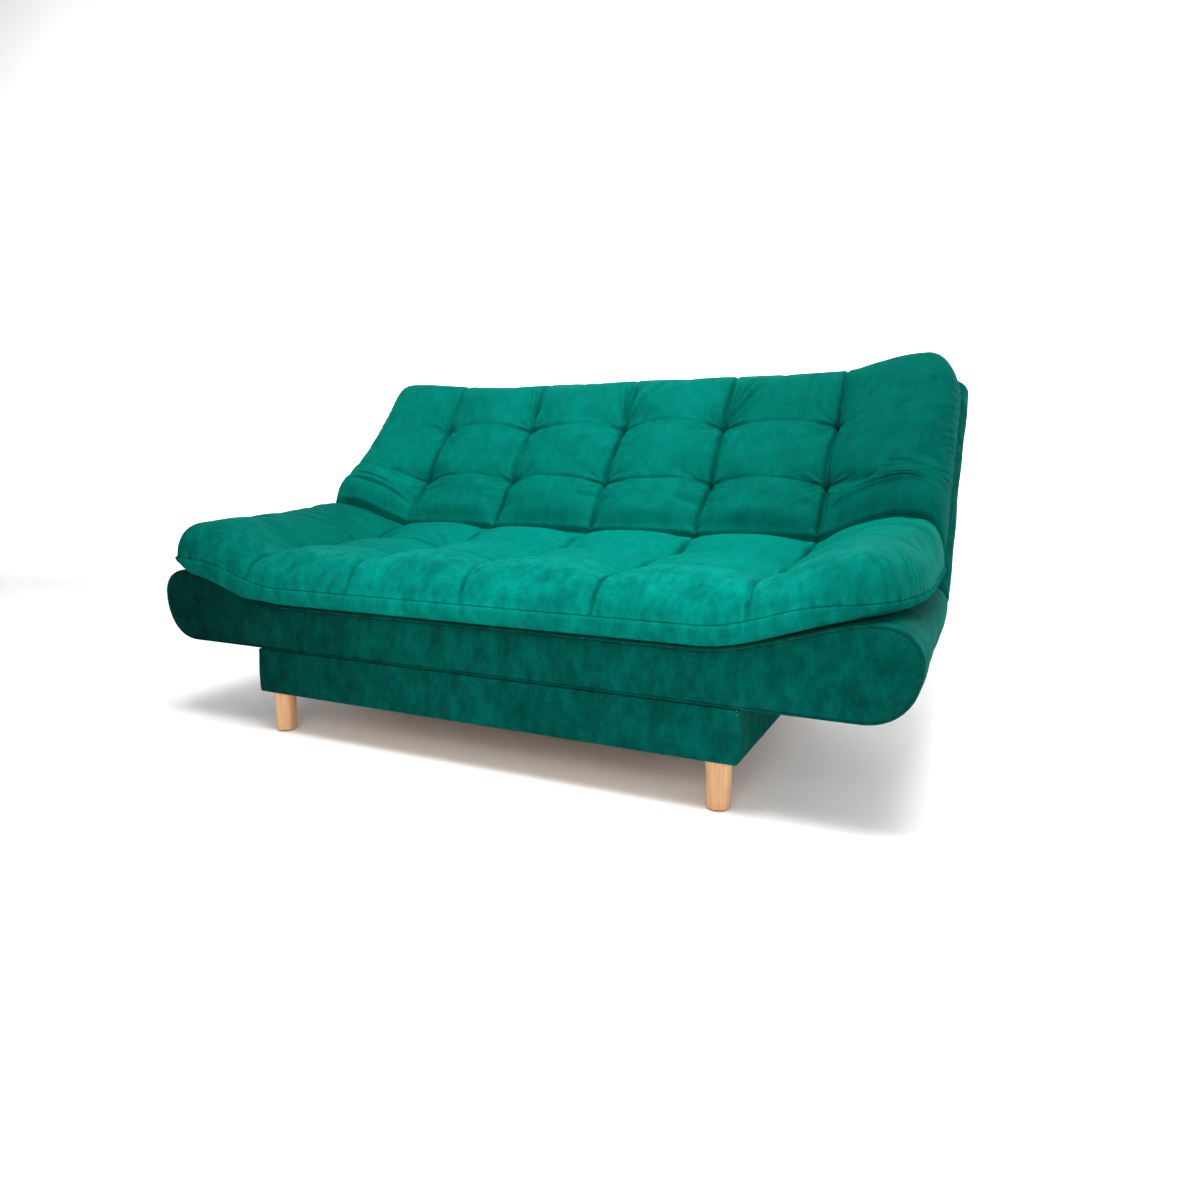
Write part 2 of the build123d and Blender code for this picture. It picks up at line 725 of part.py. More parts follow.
def turned_back_place(shape):
    """Frame parts are drawn for the seat, so the back takes them turned end for end."""
    return back_place(mirror(shape, about=Plane.XZ))


def write_base():
    save("base_front_board", base_front_board())
    save("base_rear_board", base_rear_board())
    save("base_bottom_panel", base_bottom_panel())
    save("base_corner_blocks", corner_blocks())
    save("base_bottom_battens", bottom_battens())
    save("base_cover", base_cover())
    save("base_rest_pads", rest_pads())
    save("leg_bolts", leg_bolts())
    save("leg_glides", leg_glides())
    save("bracket_screws", bracket_screws())
    for side, sign in SIDES.items():
        save("base_side_board_" + side, on_side(base_side_board(), sign))
        save("base_bracket_" + side, on_side(base_bracket(), sign))
        save("lift_pin_" + side, on_side(lift_pin(), sign))
    for corner, (x, y) in leg_centres().items():
        save("leg_" + corner, leg(x, y))


def write_mechanism():
    save("arm_screws", arm_screws())
    seat_bolts = plate_bolts(-1, SEAT_PLATE_X - RAIL_W, SEAT_PLATE_X + PLATE_T)
    save("seat_plate_bolts", seat_place(seat_bolts))
    back_bolts = plate_bolts(1, BACK_PLATE_X, BACK_PLATE_X + PLATE_T + RAIL_W)
    save("back_plate_bolts", back_place(back_bolts))
    for side, sign in SIDES.items():
        save("lid_arm_" + side, on_side(lid_arm(), sign))
        save("seat_plate_" + side, seat_place(on_side(seat_plate(), sign)))
        save("recline_pin_" + side, seat_place(on_side(recline_pin(), sign)))
        save("pawl_" + side, seat_place(on_side(pawl(), sign)))
        save("pawl_pin_" + side, seat_place(on_side(pawl_pin(), sign)))
        save("pawl_spring_" + side, seat_place(on_side(pawl_spring(), sign)))
        save("back_plate_" + side, back_place(on_side(back_plate(), sign)))


def main():
    os.makedirs("parts", exist_ok=True)
    write_base()
    write_frame("seat", seat_place, SEAT_PLATE_X - RAIL_W)
    write_frame("back", turned_back_place, BACK_PLATE_X + PLATE_T)
    write_mechanism()


main()
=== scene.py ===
import json
import math

import bmesh
import bpy
import numpy as np
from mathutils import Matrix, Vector


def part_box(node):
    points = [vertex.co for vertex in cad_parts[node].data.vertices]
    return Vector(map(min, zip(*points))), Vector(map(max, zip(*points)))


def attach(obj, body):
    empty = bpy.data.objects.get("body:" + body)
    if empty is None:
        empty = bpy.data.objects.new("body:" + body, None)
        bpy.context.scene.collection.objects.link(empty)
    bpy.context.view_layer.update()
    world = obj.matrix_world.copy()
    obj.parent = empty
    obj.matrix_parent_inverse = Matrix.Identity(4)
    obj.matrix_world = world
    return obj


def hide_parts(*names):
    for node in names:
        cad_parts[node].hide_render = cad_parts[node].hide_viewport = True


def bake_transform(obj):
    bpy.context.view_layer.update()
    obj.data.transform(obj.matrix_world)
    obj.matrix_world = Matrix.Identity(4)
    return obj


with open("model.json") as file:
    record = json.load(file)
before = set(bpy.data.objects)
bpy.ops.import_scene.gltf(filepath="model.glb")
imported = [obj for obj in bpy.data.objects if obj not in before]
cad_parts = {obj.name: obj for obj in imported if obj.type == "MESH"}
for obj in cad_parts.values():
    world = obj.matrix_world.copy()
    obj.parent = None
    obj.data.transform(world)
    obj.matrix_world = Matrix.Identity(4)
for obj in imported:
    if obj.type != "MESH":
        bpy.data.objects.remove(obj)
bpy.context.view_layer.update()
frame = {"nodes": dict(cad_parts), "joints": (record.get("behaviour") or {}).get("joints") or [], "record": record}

# ------------ the frame's own measures
# Each upholstered module (seat or back) is described by x along the sofa, v away from the
# recline hinge and w outwards from the deck that carries the pad, all in metres.

JOINTS = {joint["name"]: joint for joint in frame["joints"]}
PIVOT = Vector(JOINTS["back_recline"]["pos_m"])
BACK_TURN = math.radians(JOINTS["back_recline"]["range_deg"][1])
FRAME_LOW, FRAME_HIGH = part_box("seat_frame_cover")
BASE_LOW, BASE_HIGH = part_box("base_cover")

HALF_LENGTH = FRAME_HIGH[0]
FRAME_FLOOR = FRAME_LOW[2] - PIVOT.z
FRAME_FRONT = PIVOT.y - FRAME_LOW[1]
HINGE_GAP = PIVOT.y - FRAME_HIGH[1]
LOBE_RISE = FRAME_HIGH[2] - PIVOT.z

# The boat section: where the deck ends, the lobes peak and the underside turns up, and the height
# of its widest point. Above the deck the hinge end keeps clear of the other frame along a slope.
DECK_X = 0.540
LOBE_X = 0.872
CORNER_X = 0.845
WIDEST_W = 0.005
FOLD_START = 0.003
FOLD_SLOPE = 0.575


def seat_place(points):
    """Module coordinates to the seat."""
    x, v, w = points.T
    return np.stack([x, PIVOT.y - v, PIVOT.z + w], axis=1)


def back_place(points):
    """Module coordinates to the back as it leans at rest."""
    x, v, w = points.T
    c, s = math.cos(BACK_TURN), math.sin(BACK_TURN)
    return np.stack([x, PIVOT.y + v * c - w * s, PIVOT.z + v * s + w * c], axis=1)


# ------------ helpers

def smooth(t):
    """Smooth step from 0 to 1."""
    t = np.clip(t, 0.0, 1.0)
    return t * t * (3 - 2 * t)


def make_object(name, points, faces, material, smooth_shading=True, shade=None):
    """Mesh object from points and faces, with its normals turned outwards.

    shade, if given, is painted shade at each point, darker in the seams and tufts, for the velvet material."""
    mesh = bpy.data.meshes.new(name)
    mesh.from_pydata([tuple(p) for p in points], [], faces)
    obj = bpy.data.objects.new(name, mesh)
    bpy.context.collection.objects.link(obj)
    mesh.materials.append(material)
    if shade is not None:
        mesh.attributes.new("painted_shade", "FLOAT", "POINT").data.foreach_set("value", shade)
    work = bmesh.new()
    work.from_mesh(mesh)
    bmesh.ops.remove_doubles(work, verts=work.verts, dist=1e-6)
    bmesh.ops.recalc_face_normals(work, faces=work.faces)
    work.to_mesh(mesh)
    work.free()
    if smooth_shading:
        mesh.polygons.foreach_set("use_smooth", [True] * len(mesh.polygons))
    return obj


def grid_faces(rows, cols, close=False):
    """Quads of a grid stored row by row; close joins the last column to the first."""
    faces = []
    for i in range(rows - 1):
        for j in range(cols if close else cols - 1):
            k = (j + 1) % cols
            a = i * cols
            faces.append((a + j, a + k, a + cols + k, a + cols + j))
    return faces


def stations(low, high, coarse, fine, reach, seams):
    """Positions from low to high, closer together near both ends and near each seam."""
    places = [low]
    while places[-1] < high:
        here = places[-1]
        near = min([here - low, high - here] + [abs(here - seam) for seam in seams])
        places.append(here + fine + (coarse - fine) * float(smooth((near - 0.4 * reach) / reach)))
    places = np.array(places)
    return low + (places - low) * (high - low) / (places[-1] - low)


# ------------ materials

class Nodes:
    """Small helper to build one material's node tree."""

    def __init__(self, name):
        self.material = bpy.data.materials.new(name)
        self.material.use_nodes = True
        self.tree = self.material.node_tree
        self.tree.nodes.clear()
        self.output = self.tree.nodes.new("ShaderNodeOutputMaterial")
        self.shader = self.tree.nodes.new("ShaderNodeBsdfPrincipled")
        self.link(self.shader.outputs["BSDF"], self.output.inputs["Surface"])
        coords = self.tree.nodes.new("ShaderNodeTexCoord")
        self.position = coords.outputs["Object"]

    def link(self, output, socket):
        self.tree.links.new(output, socket)

    def set(self, **values):
        for key, value in values.items():
            self.shader.inputs[key.replace("_", " ")].default_value = value

    def mapped(self, scale):
        node = self.tree.nodes.new("ShaderNodeMapping")
        node.inputs["Scale"].default_value = scale
        self.link(self.position, node.inputs["Vector"])
        return node.outputs["Vector"]

    def noise(self, scale, detail=3.0, roughness=0.55, vector=None, distortion=0.0):
        node = self.tree.nodes.new("ShaderNodeTexNoise")
        node.inputs["Scale"].default_value = scale
        node.inputs["Detail"].default_value = detail
        node.inputs["Roughness"].default_value = roughness
        node.inputs["Distortion"].default_value = distortion
        self.link(vector or self.position, node.inputs["Vector"])
        return node.outputs["Fac"]

    def ramp(self, factor, stops):
        node = self.tree.nodes.new("ShaderNodeValToRGB")
        elements = node.color_ramp.elements
        while len(elements) < len(stops):
            elements.new(0.5)
        for element, (place, color) in zip(elements, stops):
            element.position = place
            element.color = (*color, 1.0)
        self.link(factor, node.inputs["Fac"])
        return node.outputs["Color"]

    def tinted(self, share, color, tint):
        """The color multiplied by the tint, by a share from 0 to 1."""
        node = self.tree.nodes.new("ShaderNodeMix")
        node.data_type = "RGBA"
        node.blend_type = "MULTIPLY"
        node.inputs[0].default_value = share
        self.link(color, node.inputs[6])
        self.link(tint, node.inputs[7])
        return node.outputs[2]

    def span(self, factor, low, high, from_low=0.0, from_high=1.0):
        node = self.tree.nodes.new("ShaderNodeMapRange")
        node.inputs["From Min"].default_value = from_low
        node.inputs["From Max"].default_value = from_high
        node.inputs["To Min"].default_value = low
        node.inputs["To Max"].default_value = high
        self.link(factor, node.inputs["Value"])
        return node.outputs["Result"]

    def combine(self, a, b, operation="ADD"):
        node = self.tree.nodes.new("ShaderNodeMath")
        node.operation = operation
        for socket, value in zip(node.inputs, (a, b)):
            if isinstance(value, (int, float)):
                socket.default_value = value
            else:
                self.link(value, socket)
        return node.outputs[0]

    def bump(self, height, strength, distance, base=None):
        node = self.tree.nodes.new("ShaderNodeBump")
        node.inputs["Strength"].default_value = strength
        node.inputs["Distance"].default_value = distance
        self.link(height, node.inputs["Height"])
        if base is not None:
            self.link(base, node.inputs["Normal"])
        return node.outputs["Normal"]


# How much each kind of mark counts in the lie of the velvet's nap, and where on the result its
# deep, middle and bright greens stand.
PATCHES_SHARE = 0.30
SMUDGES_SHARE = 0.20
BRUSHED_SHARE = 0.50
NAP_STOPS = (0.38, 0.50, 0.62)
PAD_CALM = 0.62


def velvet(name, deep, body, bright, scale, streaks, painted_side_shades, calm=0.0, seam_shaded=False):
    """Cut-pile velvet: the nap lies in soft patches and brushed streaks of lighter and darker green.

    calm, from 0 to 1, evens the patches out on top and keeps them on the rolled front edge.
    Each painted side shade (from x, to x, shade) darkens the colour towards one side, the side where less light
    falls.
    With seam shading, the mesh's own painted shade darkens the colour in the seams and tufts: painted shade in
    their hollows, where the pile is also crushed."""
    n = Nodes(name)
    patches = n.noise(scale, detail=4.0, roughness=0.60, distortion=0.3)
    smudges = n.noise(scale * 4.4, detail=5.0, roughness=0.66, distortion=0.6)
    brushed = n.noise(34.0, detail=4.0, roughness=0.68, vector=n.mapped(streaks), distortion=0.2)
    shares = ((patches, PATCHES_SHARE), (smudges, SMUDGES_SHARE), (brushed, BRUSHED_SHARE))
    weighted = [n.combine(marks, share, "MULTIPLY") for marks, share in shares]
    nap = n.combine(n.combine(weighted[0], weighted[1]), weighted[2])
    split = n.tree.nodes.new("ShaderNodeSeparateXYZ")
    n.link(n.position, split.inputs["Vector"])
    if calm > 0.0:
        front = n.span(split.outputs["Y"], 1.0, 1.0 - calm, FRAME_LOW[1] + 0.03, FRAME_LOW[1] + 0.16)
        nap = n.combine(n.combine(n.combine(nap, 0.5, "SUBTRACT"), front, "MULTIPLY"), 0.5)
    color = n.ramp(nap, list(zip(NAP_STOPS, (deep, body, bright))))
    # Painted shade in the seams and tufts, read from the mesh's own attribute.
    if seam_shaded:
        attribute = n.tree.nodes.new("ShaderNodeAttribute")
        attribute.attribute_name = "painted_shade"
        color = n.tinted(1.0, color, attribute.outputs["Fac"])
    # Painted shade: the colour darkens towards the less lit side.
    for start, end, shade in painted_side_shades:
        color = n.tinted(1.0, color, n.span(split.outputs["X"], 1.0, shade, start, end))
    tufts = n.noise(330.0, detail=3.0, roughness=0.75)
    color = n.tinted(0.38, color, n.ramp(tufts, [(0.32, (0.35, 0.35, 0.35)), (0.68, (1.0, 1.0, 1.0))]))
    pile = n.noise(1100.0, detail=2.0, roughness=0.7)
    n.link(color, n.shader.inputs["Base Color"])
    n.link(n.span(nap, 0.92, 0.72, 0.40, 0.60), n.shader.inputs["Roughness"])
    n.set(Sheen_Weight=0.10, Sheen_Roughness=0.40, Sheen_Tint=(0.0, 0.62, 0.46, 1.0),
          Specular_IOR_Level=0.012)
    fine = n.bump(pile, 0.35, 0.0006)
    n.link(n.bump(n.combine(smudges, n.combine(tufts, 0.15, "MULTIPLY")), 0.25, 0.004, fine),
           n.shader.inputs["Normal"])
    return n.material


def wood(name, light, dark, axis, gloss, grain=1.0):
    """Straight-grained wood with fine pores along one axis."""
    n = Nodes(name)
    stretch = [22.0 * grain] * 3
    stretch[axis] = 1.2 * grain
    vector = n.mapped(tuple(stretch))
    rings = n.noise(1.6, detail=4.0, roughness=0.6, vector=vector, distortion=0.8)
    pores_stretch = [260.0] * 3
    pores_stretch[axis] = 9.0
    pores = n.noise(1.0, detail=3.0, roughness=0.7, vector=n.mapped(tuple(pores_stretch)))
    color = n.ramp(rings, [(0.30, dark), (0.62, light)])
    color = n.tinted(0.35, color, n.ramp(pores, [(0.35, (0.55, 0.45, 0.36)), (0.55, (1, 1, 1))]))
    n.link(color, n.shader.inputs["Base Color"])
    n.link(n.span(pores, gloss + 0.12, gloss - 0.05), n.shader.inputs["Roughness"])
    n.link(n.bump(pores, 0.25, 0.0006), n.shader.inputs["Normal"])
    return n.material


def coated_metal(name, color, metallic, roughness):
    """Powder-coated or plated steel with a little unevenness and worn patches."""
    n = Nodes(name)
    grain = n.noise(180.0, detail=3.0, roughness=0.6)
    wear = n.noise(9.0, detail=5.0, roughness=0.65)
    worn = tuple(min(1.0, c * 1.5 + 0.03) for c in color)
    n.link(n.ramp(wear, [(0.42, color), (0.72, worn)]), n.shader.inputs["Base Color"])
    n.link(n.span(wear, roughness - 0.08, roughness + 0.14), n.shader.inputs["Roughness"])
    n.set(Metallic=metallic)
    n.link(n.bump(grain, 0.2, 0.0004), n.shader.inputs["Normal"])
    return n.material


def plain_fibre(name, color, scale, strength):
    """Felt, non-woven lining or moulded plastic: one tone with a fine broken surface."""
    n = Nodes(name)
    fibres = n.noise(scale, detail=4.0, roughness=0.7, distortion=1.2)
    light = tuple(min(1.0, c * 1.7 + 0.01) for c in color)
    n.link(n.ramp(fibres, [(0.35, color), (0.7, light)]), n.shader.inputs["Base Color"])
    n.link(n.span(fibres, 0.95, 0.7), n.shader.inputs["Roughness"])
    n.link(n.bump(fibres, strength, 0.001), n.shader.inputs["Normal"])
    return n.material


# One emerald velvet covers the sofa, but its copies carry painted light: the seat's colours are lightest because
# its top faces the light from above. The back's are darker, and the frame's and base's darkest, as painted shade
# on faces turned from the light and under the seat.
MATERIALS = {
    # Each velvet's last list is painted shade, darker towards one side.
    "seat_pad": velvet("velvet_seat_painted_light", (0.0, 0.124, 0.097), (0.0, 0.180, 0.142), (0.0, 0.245, 0.194), 5.0,
                       (1.0, 1.0, 0.3), [(-0.25, -0.88, 0.50), (0.55, 0.90, 0.72)], PAD_CALM, True),
    "back_pad": velvet("velvet_back_painted_shade", (0.0, 0.078, 0.060), (0.0, 0.136, 0.106), (0.0, 0.205, 0.163), 5.0,
                       (1.0, 1.0, 0.3), [(0.20, 0.80, 0.60)], PAD_CALM, True),
    "frame": velvet("velvet_frame_painted_shade", (0.0, 0.048, 0.038), (0.0, 0.074, 0.058), (0.0, 0.104, 0.083), 7.5,
                    (1.0, 1.0, 0.5), [(-0.10, -0.80, 0.30)]),
    "base": velvet("velvet_base_painted_shade", (0.0, 0.046, 0.036), (0.0, 0.070, 0.056), (0.0, 0.099, 0.080), 8.0,
                   (1.0, 1.0, 0.5), [(-0.10, -0.60, 0.52)]),
    "beech": wood("lacquered_beech", (0.70, 0.415, 0.205), (0.56, 0.295, 0.125), 2, 0.42),
    "pine": wood("planed_pine", (0.70, 0.50, 0.28), (0.50, 0.32, 0.15), 0, 0.6),
    "plywood": wood("birch_plywood", (0.66, 0.49, 0.30), (0.52, 0.36, 0.20), 0, 0.6),
    "slat_beech": wood("slat_beech", (0.68, 0.48, 0.27), (0.55, 0.35, 0.18), 1, 0.45),
    "hardboard": wood("hardboard", (0.30, 0.18, 0.10), (0.21, 0.12, 0.06), 0, 0.7, 3.0),
    "black_steel": coated_metal("black_powder_coat", (0.02, 0.02, 0.022), 0.3, 0.45),
    "zinc": coated_metal("zinc_plate", (0.55, 0.55, 0.58), 1.0, 0.34),
    "spring_steel": coated_metal("spring_steel", (0.45, 0.45, 0.48), 1.0, 0.3),
    "black_plastic": plain_fibre("black_plastic", (0.018, 0.018, 0.018), 300.0, 0.15),
    "felt": plain_fibre("dark_felt", (0.010, 0.012, 0.012), 500.0, 0.6),
    "lining": plain_fibre("dust_lining", (0.012, 0.012, 0.013), 700.0, 0.5),
}


def dress_cad_nodes():
    """Give every CAD node the material of its slot."""
    velvet_for = {"base_cover": "base", "seat_frame_cover": "frame", "back_frame_cover": "frame"}
    for part in frame["record"]["subparts"]:
        node, slot = part["node"], part["material_slot"]
        obj = frame["nodes"][node]
        key = velvet_for.get(node, node if node in MATERIALS else "frame") if slot == "velvet" else slot
        if not obj.material_slots:
            obj.data.materials.append(MATERIALS[key])
        for place in obj.material_slots:
            place.material = MATERIALS[key]


# ------------ upholstered frames

# Handles of the boat section's curves: the rise on to a lobe, over the lobe to the widest point,
# and round under the end.
RISE_HANDLES = (0.112, 0.080)
LOBE_HANDLES = (0.027, 0.040)
UNDER_HANDLES = (0.047, 0.002, 0.075)
FLAT_POINTS = 28
RISE_POINTS = 20
LOBE_POINTS = 18
UNDER_POINTS = 23

# Rings from the middle of a frame's front face out to its sleeve, as (inset, drop behind the face).
# The dip is the seam line round the face.
FRONT_EDGE = ((0.0090, 0.0), (0.0070, 0.0010), (0.0060, 0.0052), (0.0048, 0.0014),
              (0.0030, 0.0006), (0.0014, 0.0020), (0.0004, 0.0045), (0.0, 0.0080))
EDGE_R = 0.011
EDGE_STEPS = 6
SLEEVE_STEPS = 60
SLEEVE_INSET = 0.0008
CAP_STEPS = 10
CAP_CROWN = 0.004
CAP_FULL_T = 0.08

# Openings in a frame's skin, as (x0, x1, v0, v1, w0, w1): the pocket for a hinge plate, and the
# window in the underside that the dust cover closes.
PLATE_POCKET = (0.758, 0.798, -0.02, 0.080, -0.082, 0.040)
UNDER_WINDOW = (-0.7995, 0.7995, 0.0605, 0.6195, FRAME_FLOOR - 0.01, FRAME_FLOOR + 0.0021)


def bezier(p0, p1, p2, p3, count):
    """Points along one cubic curve, without its last point."""
    t = np.linspace(0, 1, count, endpoint=False)[:, None]
    p0, p1, p2, p3 = map(np.array, (p0, p1, p2, p3))
    return (1 - t) ** 3 * p0 + 3 * (1 - t) ** 2 * t * p1 + 3 * (1 - t) * t ** 2 * p2 + t ** 3 * p3


def flat_run(end, height, count):
    """Points along a straight edge from the middle, without its last point."""
    return np.stack([np.linspace(0, end, count, endpoint=False), np.full(count, height)], axis=1)


def half_boat(inset):
    """Right half of the boat section: (top edge, bottom edge), each from the middle to the end."""
    end = HALF_LENGTH - inset
    floor = FRAME_FLOOR + inset
    deck = -inset
    lobe = LOBE_RISE - inset
    widest = (end, WIDEST_W)
    top = np.concatenate([
        flat_run(DECK_X, deck, FLAT_POINTS),
        bezier((DECK_X, deck), (DECK_X + RISE_HANDLES[0], deck), (LOBE_X - RISE_HANDLES[1], lobe),
               (LOBE_X, lobe), RISE_POINTS),
        bezier((LOBE_X, lobe), (end - LOBE_HANDLES[0], lobe), (end, LOBE_HANDLES[1]), widest,
               LOBE_POINTS),
        [widest],
    ])
    bottom = np.concatenate([
        flat_run(CORNER_X, floor, len(top) - UNDER_POINTS - 1),
        bezier((CORNER_X, floor), (end - UNDER_HANDLES[0], floor),
               (end - UNDER_HANDLES[1], -UNDER_HANDLES[2] + inset), widest, UNDER_POINTS),
        [widest],
    ])
    return top, bottom


def boat_ring(inset):
    """Whole section as a closed ring: along the top from left to right, back along the bottom."""
    top, bottom = half_boat(inset)
    mirror_x = np.array([-1.0, 1.0])
    upper = np.concatenate([(top * mirror_x)[::-1], top[1:]])
    lower = np.concatenate([bottom[::-1][1:], (bottom * mirror_x)[1:-1]])
    return np.concatenate([upper, lower])


def fold_limit(w):
    """Nearest to the hinge that a frame may reach at height w."""
    return np.maximum(HINGE_GAP, FOLD_START + FOLD_SLOPE * w)


def skin_rings():
    """Rings of a frame's sleeve: the seamed front edge, the long sides, the rounded hinge edge."""
    rings = []
    for inset, drop in FRONT_EDGE:
        ring = boat_ring(inset)
        rings.append((ring, np.full(len(ring), FRAME_FRONT - drop)))
    for share in np.linspace(1.0, 0.0, SLEEVE_STEPS)[1:-1]:
        slack = 0.0012 * math.sin(share * 9.0) + 0.0008 * math.sin(share * 23.0)
        ring = boat_ring(SLEEVE_INSET - slack)
        near, far = fold_limit(ring[:, 1]) + EDGE_R, FRAME_FRONT - EDGE_R
        rings.append((ring, near + (far - near) * share))
    for angle in np.linspace(0, math.pi / 2, EDGE_STEPS):
        ring = boat_ring(EDGE_R * (1 - math.cos(angle)))
        rings.append((ring, fold_limit(ring[:, 1]) + (EDGE_R - EDGE_R * math.sin(angle))))
    return [np.stack([ring[:, 0], v, ring[:, 1]], axis=1) for ring, v in rings]


def face_cap(points, cols, row, sign, total):
    """Puffed face that closes one end of the sleeve: its new lines of points, and its faces."""
    half = (cols + 2) // 2
    upper = [row * cols + i for i in range(half)]
    lower = [upper[0]] + [row * cols + cols - i for i in range(1, half - 1)] + [upper[-1]]
    a, b = points[upper], points[lower]
    fullness = smooth(np.abs(a[:, 2] - b[:, 2]) / CAP_FULL_T)
    new_lines = []
    lines = [upper]
    for k in range(1, CAP_STEPS):
        t = k / CAP_STEPS
        line = a * (1 - t) + b * t
        line[:, 1] += sign * (CAP_CROWN * np.sin(math.pi * t) ** 0.7 * fullness)
        new_lines.append(line[1:-1])
        lines.append([upper[0]] + list(range(total, total + half - 2)) + [upper[-1]])
        total += half - 2
    lines.append(lower)
    faces = []
    for first, second in zip(lines[:-1], lines[1:]):
        for i in range(half - 1):
            corners = dict.fromkeys((first[i], first[i + 1], second[i + 1], second[i]))
            if len(corners) > 2:
                faces.append(tuple(corners))
    return new_lines, faces


def frame_skin(name, place):
    """Velvet skin of one frame: a boat-shaped sleeve with softly rounded edges and puffed faces."""
    rings = skin_rings()
    rows, cols = len(rings), len(rings[0])
    sleeve = np.concatenate(rings)
    faces = grid_faces(rows, cols, close=True)
    pieces = [sleeve]
    for row, sign in ((0, 1.0), (rows - 1, -1.0)):
        new_lines, cap_faces = face_cap(sleeve, cols, row, sign, sum(map(len, pieces)))
        pieces += new_lines
        faces += cap_faces
    return make_object(name, place(np.concatenate(pieces)), faces, MATERIALS["frame"])


def apply_modifiers(obj):
    """Replace a piece's mesh with its evaluated mesh."""
    graph = bpy.context.evaluated_depsgraph_get()
    graph.update()
    mesh = bpy.data.meshes.new_from_object(obj.evaluated_get(graph), depsgraph=graph)
    obj.modifiers.clear()
    old = obj.data
    obj.data = mesh
    bpy.data.meshes.remove(old)


def cut_box(obj, place, x0, x1, v0, v1, w0, w1):
    """Cut a pocket or window out of a piece on both sides of the sofa, or once if x0 is negative."""
    spans = [(x0, x1)] if x0 < 0 else [(x0, x1), (-x1, -x0)]
    for low, high in spans:
        corners = np.array([(x, v, w) for x in (low, high) for v in (v0, v1) for w in (w0, w1)])
        faces = [(0, 1, 3, 2), (4, 6, 7, 5), (0, 4, 5, 1), (2, 3, 7, 6), (0, 2, 6, 4), (1, 5, 7, 3)]
        cutter = make_object(obj.name + "_cutter", place(corners), faces, MATERIALS["frame"], False)
        modifier = obj.modifiers.new("cut", "BOOLEAN")
        modifier.operation = "DIFFERENCE"
        modifier.solver = "EXACT"
        modifier.object = cutter
        apply_modifiers(obj)
        bpy.data.objects.remove(cutter)


def build_frame(prefix, place):
    """Velvet skin of one frame, with its openings cut."""
    skin = frame_skin(prefix + "_frame_velvet", place)
    cut_box(skin, place, *PLATE_POCKET)
    cut_box(skin, place, *UNDER_WINDOW)
    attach(skin, prefix)
    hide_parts(prefix + "_frame_cover")


# ------------ pads

# The pads' plan, the places of the quilting's columns and rows, and the lean of the plane on
# which the two pads meet, with how far from the hinge the pads are drawn on to it.
PAD_HALF = 0.940
PAD_FRONT = FRAME_FRONT + 0.012
PAD_BACK = 0.003
COLUMN_PITCH = 0.319
COLUMNS = COLUMN_PITCH * np.array([-2, -1, 0, 1, 2])
ROWS = np.array([0.262, 0.467])
CREASE_LEAN = math.radians(19.5)
FOLD_FADE = 0.30
PAD_COARSE = 0.0060
PAD_FINE = 0.0022

# The stitched side seam's height in the middle and how much lower it runs at the ends, how much
# the crown falls to the far edge, and how square the edge roll and the hinge shoulder are.
SEAM_H = 0.048
SEAM_END_DROP = 0.012
FAR_DROP = 0.006
ROLL_POWER = 2.1
SHOULDER_POWER = 1.7

# Quilting: how wide the pillows round over beside columns and rows, the sewn line in a column,
# the short wrinkles round each tuft, and how tightly its fanned pleats turn.
COLUMN_VALLEY = 0.125
ROW_VALLEY = 0.095
SEAM_LINE = 0.016
WRINKLE_DEPTH = 0.0022
PLEAT_TURNS = 6.4
FULL_TURN = 6.28

# Uneven filling: how much a pillow's height varies, and the low ripples over the whole top.
PILLOW_LIFT = 0.009
RIPPLES = 14
RIPPLE_H = 0.0007

# Gathers along the rim at the raised ends.
GATHER_PITCH = 0.024
GATHER_DEPTH = 0.0100

# The band below the stitched seam, as (share of the way down, outwards, share of puckering), how
# far it hangs at the seat's front left, and the gaps and insets of the flat underside.
BAND_LEVELS = ((0.02, 0.0004, 0.6), (0.045, -0.0032, 0.3), (0.07, 0.0002, 0.6), (0.12, 0.0024, 1.0),
               (0.24, 0.0042, 0.9), (0.40, 0.0050, 0.6), (0.58, 0.0042, 0.35), (0.74, 0.0020, 0.2),
               (0.86, -0.0020, 0.1), (0.95, -0.0075, 0.0), (0.99, -0.0130, 0.0))
BAND_CLEAR = 0.0006
FULL_HANG = 0.013
UNDER_INSET = 0.047
UNDER_SHRINK = 0.066
UNDER_CLEAR = 0.0011

# The cloth simulation of a pad's cover: grid spacing, frames, how much larger than the pad the
# cover is cut, how far a point may move, how much lower the pillows start, and how often the
# result is softened.
CLOTH_STEP = 0.011
CLOTH_FRAMES = 20
CLOTH_SURPLUS = 0.022
CLOTH_CAP = 0.014
CLOTH_START = 0.005
CLOTH_SOFTENING = 3

